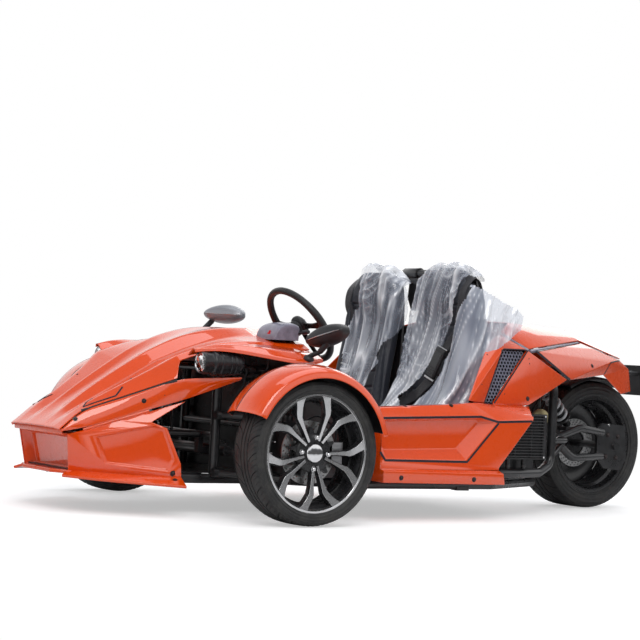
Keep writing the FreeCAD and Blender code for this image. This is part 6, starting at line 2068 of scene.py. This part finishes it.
def base_seams():
    def bolster(p, n):
        return abs(abs(p.y) - 0.120) if p.x < 0.30 and n.z > 0.3 else None

    def cross(x0):
        def gap(p, n):
            return abs(p.x - (x0 + 0.012 * (1
                                            - (p.y / 0.13) ** 2))) if abs(p.y) < 0.12 and n.z > 0.3 else None
        return gap

    def front(p, n):
        return abs(p.z - 0.292) if n.x > 0.5 else None

    return [(bolster, 1.0), (front, 0.9)] + [(cross(x), 0.8) for x in (0.03, 0.10, 0.17, 0.24)]


def seat_shell():
    """Moulded back, side wings and pan of one seat, about its own middle."""
    geo = Geo()
    rows = []
    outline = [(-0.222, 0.278), (-0.232, 0.400), (-0.241, 0.600), (-0.250, 0.800), (-0.257, 0.940),
               (-0.250, 0.990)]
    for x, z in outline:
        w = between(WIDTHS, z) + 0.004
        row = []
        for k in range(17):
            a = -1 + k / 8
            curl = max(0.0, abs(a) - 0.72) / 0.28
            row.append(Vector((x + 0.030 * curl ** 1.6 - 0.004 * (1 - a * a), a * w, z)))
        rows.append(row)
    geo.grid(rows)
    obj = geo.build("shell", M["plastic"], None, None, angle=0, ride=False)
    modifier(obj, "SUBSURF", levels=1, render_levels=1)
    modifier(obj, "SOLIDIFY", thickness=0.007, offset=1.0)
    deps = bpy.context.evaluated_depsgraph_get()
    shell = bpy.data.meshes.new_from_object(obj.evaluated_get(deps))
    bpy.data.objects.remove(obj)
    pan = Geo()
    pan.prism([(-0.185, -0.186, 0.2010), (0.335, -0.176, 0.2010), (0.343, -0.174, 0.240),
               (0.335, -0.176, 0.256), (-0.150, -0.186, 0.250), (-0.214, -0.186, 0.283)], (0, 0.010, 0))
    pan.prism([(-0.185, 0.176, 0.2010), (0.335, 0.166, 0.2010), (0.343, 0.164, 0.240), (0.335, 0.166, 0.256),
               (-0.150, 0.176, 0.250), (-0.214, 0.176, 0.283)], (0, 0.010, 0))
    pan.box(-0.200, 0.335, -0.180, 0.180, 0.2150, 0.2210)
    pan.box(0.326, 0.343, -0.175, 0.175, 0.2050, 0.2520)
    for s in (1, -1):
        pan.box(-0.090, 0.330, s * 0.138 - 0.018, s * 0.138 + 0.018, 0.1995, 0.2150)
        pan.rod((-0.212, s * 0.186, 0.285), (-0.212, s * 0.199, 0.285), 0.026, 32, bevel=0.004)
        pan.rod((-0.212, s * 0.199, 0.285), (-0.212, s * 0.2005, 0.285), 0.011, 6)
        pan.box(-0.232, -0.192, s * 0.187 - 0.003, s * 0.187 + 0.003, 0.235, 0.330)
    return shell, pan


def seats():
    verts, faces = pad_form(BACK_LINE, 0.036, 0.052, 30, 25, True)
    back = sewn(inflate("seat_back_form", verts, faces, 4.0, 0.012), back_seams())
    verts, faces = pad_form(BASE_LINE, 0.026, 0.072, 24, 25, False)
    base = sewn(inflate("seat_base_form", verts, faces, 4.0, 0.012), base_seams())
    shell, pan = seat_shell()
    for side, word in SEAT_SIDES:
        node = f"{word}_seat"
        for form, label in ((back, "back"), (base, "base")):
            data = form.data.copy()
            data.materials.clear()
            data.materials.append(M["seat"])
            obj = bpy.data.objects.new(f"{word}_seat_{label}", data)
            for v in data.vertices:
                v.co.y += side * SEAT_MID
            bpy.context.scene.collection.objects.link(obj)
            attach(obj, CHASSIS)
            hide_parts(node)
        data = shell.copy()
        data.materials.clear()
        data.materials.append(M["plastic"])
        for v in data.vertices:
            v.co.y += side * SEAT_MID
        obj = bpy.data.objects.new(f"{word}_seat_shell", data)
        bpy.context.scene.collection.objects.link(obj)
        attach(obj, CHASSIS)
        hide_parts(node)
        frame_geo = Geo()
        frame_geo.add([p + Vector((0, side * SEAT_MID, 0)) for p in pan.v], pan.f)
        soften(frame_geo.build(f"{word}_seat_pan", M["frame"], CHASSIS, "frame_black", node), 0.002, 2)
        trims(side, word)
    bpy.data.objects.remove(back)
    bpy.data.objects.remove(base)


def seat_point(side, a, z, lift=0.0):
    """A point of the face of the back, a across from its middle, at height z."""
    x = between([(0.352, -0.090), (0.420, -0.100), (0.540, -0.120), (0.700, -0.150), (0.800, -0.160),
                 (0.955, -0.175), (1.000, -0.187), (1.018, -0.212)], z)
    w = between(WIDTHS, z)
    head = 1.0 - step(0.80, 0.90, z)
    r = 0.034 * head * (1.0 - step(w - 0.082, w - 0.050, abs(a)))
    return Vector((x - r + 0.010 * (1 - (a / w) ** 2) * head + lift, side * SEAT_MID + a, z))


def trims(side, word):
    """Piping in the bolster seams and twin rows of stitches beside it."""
    pipe, stitch = Geo(), Geo()
    for s in (1, -1):
        line = []
        for k in range(46):
            z = 0.375 + 0.475 * k / 45
            w = between(WIDTHS, z) - 0.066
            line.append(seat_point(side, s * w, z, 0.0045))
        pipe.tube(line, 0.0022, 8)
        for off in (0.0085, -0.0085):
            for k in range(1, 60):
                z = 0.375 + 0.475 * k / 60
                a = s * (between(WIDTHS, z) - 0.066) + off
                p, q = seat_point(side, a, z, 0.0072), seat_point(side, a, z + 0.0046, 0.0072)
                stitch.rod(p, q, 0.0006, 5)
    pipe.build(f"{word}_seat_piping", M["plastic"], CHASSIS, "seat_leather", f"{word}_seat", angle=60)
    stitch.build(f"{word}_seat_stitches", M["thread"], CHASSIS, "seat_leather", f"{word}_seat", angle=0)


# ---------------------------------------------------------------- packing film on the seats
# Outlines on the face of a back: distance across from the seat's middle, height. Past the edge of the seat
# the film turns back along its side.
DRIVER_FILM = [(-0.15, 1.06), (-0.157, 0.98), (-0.165, 0.90), (-0.182, 0.845), (-0.215, 0.825),
               (-0.208, 0.78), (-0.217, 0.71), (-0.226, 0.63), (-0.245, 0.51), (-0.262, 0.43),
               (-0.262, 0.30), (0.04, 0.30), (-0.12, 0.47), (-0.086, 0.518), (-0.038, 0.555),
               (-0.007, 0.613), (0.018, 0.66), (0.050, 0.680), (0.073, 0.73), (0.102, 0.80), (0.119, 0.885),
               (0.129, 0.943), (0.150, 0.988), (0.17, 1.06)]
DRIVER_OUTER = [(0.172, 0.958), (0.178, 0.900), (0.146, 0.840), (0.135, 0.789), (0.118, 0.731),
                (0.112, 0.674), (0.090, 0.639), (0.084, 0.588), (0.054, 0.524), (0.00, 0.455),
                (-0.04, 0.42), (0.00, 0.30), (0.268, 0.30), (0.272, 0.47), (0.274, 0.56), (0.296, 0.62),
                (0.326, 0.665), (0.330, 0.705), (0.372, 0.750), (0.425, 0.800), (0.440, 0.845),
                (0.385, 0.885), (0.262, 0.930)]
RIDER_FILM = [(-0.08, 1.06), (-0.060, 0.965), (-0.046, 0.900), (-0.050, 0.850), (-0.095, 0.836),
              (-0.122, 0.750), (-0.114, 0.640), (-0.095, 0.550), (-0.09, 0.45), (-0.23, 0.42),
              (-0.26, 0.30), (0.14, 0.30), (0.110, 0.480), (0.142, 0.517), (0.152, 0.560), (0.186, 0.610),
              (0.166, 0.640), (0.182, 0.690), (0.212, 0.734), (0.252, 0.785), (0.262, 0.850),
              (0.240, 0.925), (0.205, 0.985), (0.17, 1.06)]


def inside(outline, a, b):
    hit = False
    for (x0, y0), (x1, y1) in zip(outline, outline[1:] + outline[:1]):
        if (y0 > b) != (y1 > b) and a < (x1 - x0) * (b - y0) / (y1 - y0) + x0:
            hit = not hit
    return hit


def film_wave(a, s, lean, seed):
    """Height of the film's folds (pleats, swags, sharp crumples) and how much of a ridge it is; that ridge
    share is painted onto the film as a white highlight.
    """
    warp = (0.045 * noise.noise(Vector((a * 4 + seed, s * 2.0, 1.7)))
            + 0.010 * noise.noise(Vector((a * 14, s * 6, seed))))
    u = a - lean * s + warp
    where = max(0.0, noise.noise(Vector((a * 4.5, s * 3.4, seed + 3.0))) + 0.20)
    pleat = 1.0 - 2.0 * abs(noise.noise(Vector((u * 15 + seed * 3, s * 1.1, 0.3))))
    ripple = 1.0 - 2.0 * abs(noise.noise(Vector((u * 34, s * 2.0 + seed, 4.1))))
    swag = 1.0 - 2.0 * abs(noise.noise(Vector((a * 6 + seed, (s + 2.6 * (a + 0.08) ** 2) * 17, 6.2))))
    crumple = 1.0 - 2.0 * abs(noise.noise(Vector((a * 22 + seed, s * 19.0, 9.1))))
    height = 0.0120 * pleat ** 2 + 0.0034 * ripple + (0.0110 * swag + 0.0036 * crumple) * where
    ridge = max(pleat ** 10, 0.8 * ripple ** 12, 1.6 * where * swag ** 10, 1.3 * where * crumple ** 12)
    return height, min(1.0, ridge)


def film(name, side, outline, over_base, reach, lean, seed, flare=0.0, mat="film", gap=0.0065):
    """Sheet over one seat, held to an outline on the back and carried on over the cushion."""
    count, cell = 255, 0.0050
    rows, length = along(FILM_LINE, count)
    lo, hi = reach
    across = int((hi - lo) / cell)
    verts, ridges, index, faces = [], [], {}, []
    for i, (p, n) in enumerate(rows):
        s = length * i / (count - 1)
        w = (between(WIDTHS, p.y) if p.x < 0.0 else 0.190) + 0.006
        for k in range(across + 1):
            a = lo + (hi - lo) * k / across
            ragged = 0.005 * noise.noise(Vector((a * 24, s * 24, seed)))
            if p.x < -0.03 and not inside(outline, a + ragged, p.y + ragged):
                continue
            if p.x >= -0.03 and not over_base[0] + ragged < a < over_base[1] + ragged:
                continue
            over = abs(a) - (w - 0.018)
            sign = 1 if a > 0 else -1
            if over <= 0:
                head = 1.0 - step(0.80, 0.90, p.y)
                y, sink, out = a, 0.017 * head * (1 - step(w - 0.092, w - 0.045,
                                                           abs(a))), Vector((n.x, 0, n.y))
            elif over < 0.0283:
                t = over / 0.018
                y, sink = sign * (w - 0.018 + 0.018 * math.sin(t)), 0.018 * (1 - math.cos(t))
                out = Vector((n.x * math.cos(t), sign * math.sin(t), n.y * math.cos(t)))
            else:
                back = over - 0.0283
                y, sink, out = sign * (w + flare * back), 0.018 + back, Vector((0.25 * flare,
                                                                                sign, 0)).normalized()
            wave, ridge = film_wave(a, s, lean, seed)
            wave *= 0.35 + 0.65 * step(0.02, 0.10, s)
            base = Vector((p.x - n.x * sink, side * SEAT_MID + y, p.y - n.y * sink))
            index[i, k] = len(verts)
            verts.append(base + out * (gap + max(-0.004, wave)))
            ridges.append(ridge)
    for i in range(count - 1):
        for k in range(across):
            q = [(i, k), (i, k + 1), (i + 1, k + 1), (i + 1, k)]
            if all(c in index for c in q):
                faces.append([index[c] for c in q])
    used = sorted({v for f in faces for v in f})
    back = {v: i for i, v in enumerate(used)}
    geo = Geo()
    geo.add([verts[v] for v in used], [[back[v] for v in f] for f in faces])
    obj = geo.build(name, M[mat], CHASSIS, "seat_leather", angle=0)
    smooth(obj.data)
    # The ridge attribute carries the painted highlight on fold crests into the film's colour and cover.
    obj.data.attributes.new("ridge", "FLOAT", "POINT").data.foreach_set("value", [ridges[v] for v in used])
    return obj


def films():
    film("driver_film", 1, DRIVER_FILM, (-0.26, 0.02), (-0.27, 0.19), -0.26, 1.3)
    film("driver_film_outer", 1, DRIVER_OUTER, (0.03, 0.26), (-0.05, 0.42), -0.20,
         4.6, 0.22, "film_thick")
    film("passenger_film", -1, RIDER_FILM, (-0.26, 0.20), (-0.27, 0.28), -0.05, 7.9)


# ---------------------------------------------------------------- belts
def strap(geo, points, normals, width=0.047, thick=0.0013):
    """Flat webbing along points; normals give the way its face looks at each point."""
    pts = [Vector(p) for p in points]
    fine, fn = [], []
    for i in range(len(pts) - 1):
        p0, p1, p2, p3 = pts[max(i - 1, 0)], pts[i], pts[i + 1], pts[min(i + 2, len(pts) - 1)]
        for k in range(10):
            t = k / 10
            fine.append(0.5 * (2 * p1 + (p2 - p0) * t + (2 * p0 - 5 * p1 + 4 * p2 - p3) * t * t
                               + (3 * p1 - p0 - 3 * p2 + p3) * t ** 3))
            fn.append((Vector(normals[i]) * (1 - t) + Vector(normals[i + 1]) * t).normalized())
    fine.append(pts[-1])
    fn.append(Vector(normals[-1]).normalized())
    rows = []
    for i, (p, n) in enumerate(zip(fine, fn)):
        d = (fine[min(i + 1, len(fine) - 1)] - fine[max(i - 1, 0)]).normalized()
        side = d.cross(n).normalized()
        face = side.cross(d).normalized()
        row = []
        for s, h in ((-1, 0), (-0.94, 0.35), (-0.86, 0.5), (-0.5, 0.42), (0, 0.4), (0.5, 0.42), (0.86, 0.5),
                     (0.94, 0.35), (1, 0), (0.94, -0.5), (0, -0.5), (-0.94, -0.5)):
            row.append(p + side * (s * width / 2) + face * (h * thick * 2))
        rows.append(row)
    n = len(rows[0])
    verts = [p for row in rows for p in row]
    faces = []
    for i in range(len(rows) - 1):
        for k in range(n):
            m = (k + 1) % n
            faces.append((i * n + k, i * n + m, (i + 1) * n + m, (i + 1) * n + k))
    faces.append(tuple(range(n))[::-1])
    faces.append(tuple((len(rows) - 1) * n + k for k in range(n)))
    geo.add(verts, faces)
    return sum((b - a).length for a, b in zip(fine, fine[1:]))


def belts():
    front = (1.0, 0, 0.15)
    # columns: across, height, stand-off
    worn = [(0.141, 0.922, 0.012), (0.143, 0.868, 0.012), (0.128, 0.806, 0.012), (0.103, 0.754, 0.014),
            (0.078, 0.712, 0.022), (0.060, 0.680, 0.030), (0.038, 0.610, 0.034), (0.016, 0.555, 0.034),
            (-0.030, 0.520, 0.030), (-0.095, 0.481, 0.020), (-0.150, 0.446, 0.014)]
    for side, word in SEAT_SIDES:
        line = worn if side > 0 else [
            (-0.142, 0.922, 0.014), (-0.144, 0.865, 0.013), (-0.120, 0.800, 0.014), (-0.108, 0.735, 0.020),
            (-0.104, 0.660, 0.026), (-0.112, 0.590, 0.024), (-0.135, 0.520, 0.018), (-0.160, 0.460, 0.014)]
        pts = [seat_point(side, a, z, up) for a, z, up in line]
        top = [Vector(p) for p in ((-0.292, side * 0.411, 0.722), (-0.284, side * 0.410, 0.800),
                                   (-0.268, side * 0.403, 0.890), (-0.246, side * 0.399, 0.962),
                                   (-0.213, side * 0.398, 0.986), (-0.184, side * 0.400, 0.964))]
        normals = [Vector((-0.3, side, 0.1)), Vector((-0.7, side * 0.8, 0.1)), Vector((-1, side * 0.4, 0.2)),
                   Vector((-0.8, side * 0.3, 0.6)), Vector((0.0, side * 0.3, 1.0)),
                   Vector((0.8, side * 0.2, 0.6))]
        normals += [Vector(front)] * len(pts)
        if side > 0:
            tail = [Vector((-0.095, 0.078, 0.395)), Vector((-0.120, 0.058, 0.335)),
                    Vector((-0.135, 0.052, 0.270))]
            tail_n = [Vector((0.9, -0.5, 0.2)), Vector((0.5, -1, 0)), Vector((0.2, -1, 0))]
        else:
            tail = [Vector((-0.092, -0.455, 0.395)), Vector((-0.115, -0.468, 0.320)),
                    Vector((-0.130, -0.4695, 0.250))]
            tail_n = [Vector((0.7, -0.7, 0.1)), Vector((0.3, -1, 0)), Vector((0.1, -1, 0))]
        geo = Geo()
        length = strap(geo, top + pts + tail, normals + tail_n)
        belt = geo.build(f"{word}_belt", M["belt"], CHASSIS, "black_plastic", angle=50)
        a, b = (seat_point(side, 0.060, 0.682, 0.040),
                seat_point(side, 0.020, 0.562, 0.044)) if side > 0 else (
            seat_point(side, -0.104, 0.640, 0.031), seat_point(side, -0.110, 0.602, 0.031))
        d = (b - a).normalized()
        out = Vector(front).normalized()
        wide = d.cross(out).normalized()
        out = wide.cross(d).normalized()
        turn = Matrix((wide, d, out)).transposed()
        mid = (a + b) / 2
        half = (b - a).length / 2
        clip = Geo()

        def slab(x0, x1, y0, y1, z0, z1, target):
            target.add([mid + turn @ Vector((x, y, z)) for x in (x0, x1) for y in (y0, y1) for z in (z0, z1)],
                       [(0, 1, 3, 2), (4, 6, 7, 5), (0, 4, 5, 1), (2, 3, 7, 6), (0, 2, 6, 4), (1, 5, 7, 3)])

        slab(-0.031, 0.031, -half, half, -0.004, 0.011, clip)
        soften(clip.build(f"{word}_buckle", M["plastic"], CHASSIS, "black_plastic", angle=30), 0.0065, 4)
        fine = Geo()
        slab(-0.025, 0.025, -half * 0.72, half * 0.30, 0.0108, 0.0122, fine)
        for k in range(3):
            y = half * (0.46 + 0.13 * k)
            slab(-0.022, 0.022, y - 0.0016, y + 0.0016, 0.0108, 0.0126, fine)
        soften(fine.build(f"{word}_buckle_face", M["lamp"], CHASSIS, "black_plastic", angle=30), 0.001, 2)
        metal_bar = Geo()
        slab(-0.035, 0.035, half + 0.001, half + 0.010, 0.000, 0.004, metal_bar)
        slab(-0.035, 0.035, -half - 0.006, -half - 0.001, 0.000, 0.003, metal_bar)
        soften(metal_bar.build(f"{word}_belt_bar", M["steel"], CHASSIS, "black_plastic", angle=30), 0.0015, 3)
        stalk = Geo()
        if side > 0:
            stalk.rod((-0.135, 0.052, 0.270), (-0.150, 0.055, 0.205), 0.009, 16)
            stalk.bolt((-0.150, 0.060, 0.215), (0, 1, 0), 0.009)
        else:
            stalk.rod((-0.130, -0.4695, 0.250), (-0.140, -0.470, 0.206), 0.009, 16)
            stalk.bolt((-0.140, -0.466, 0.215), (0, 1, 0), 0.009)
        stalk.box(-0.306, -0.280, *sorted((side * 0.394, side * 0.426)), 0.690, 0.726)
        soften(stalk.build(f"{word}_belt_anchor", M["steel"], CHASSIS, "frame_black", angle=30), 0.001)


def finish_lines():
    BOLT_GEO.build("panel_bolts", M["bolt"], CHASSIS, "frame_black")
    LINE_GEO.build("pinstripes", M["line"], CHASSIS, "frame_black")


BUILDERS = (hood, strips, brows, nose, seams, fenders, sills, tails, closers, wheels, headlamps,
            mirrors, steering, pod, dampers, radiators, rear_details, seats, films, belts, finish_lines)

dress_cad()
for build in BUILDERS:
    build()
stage_and_camera()
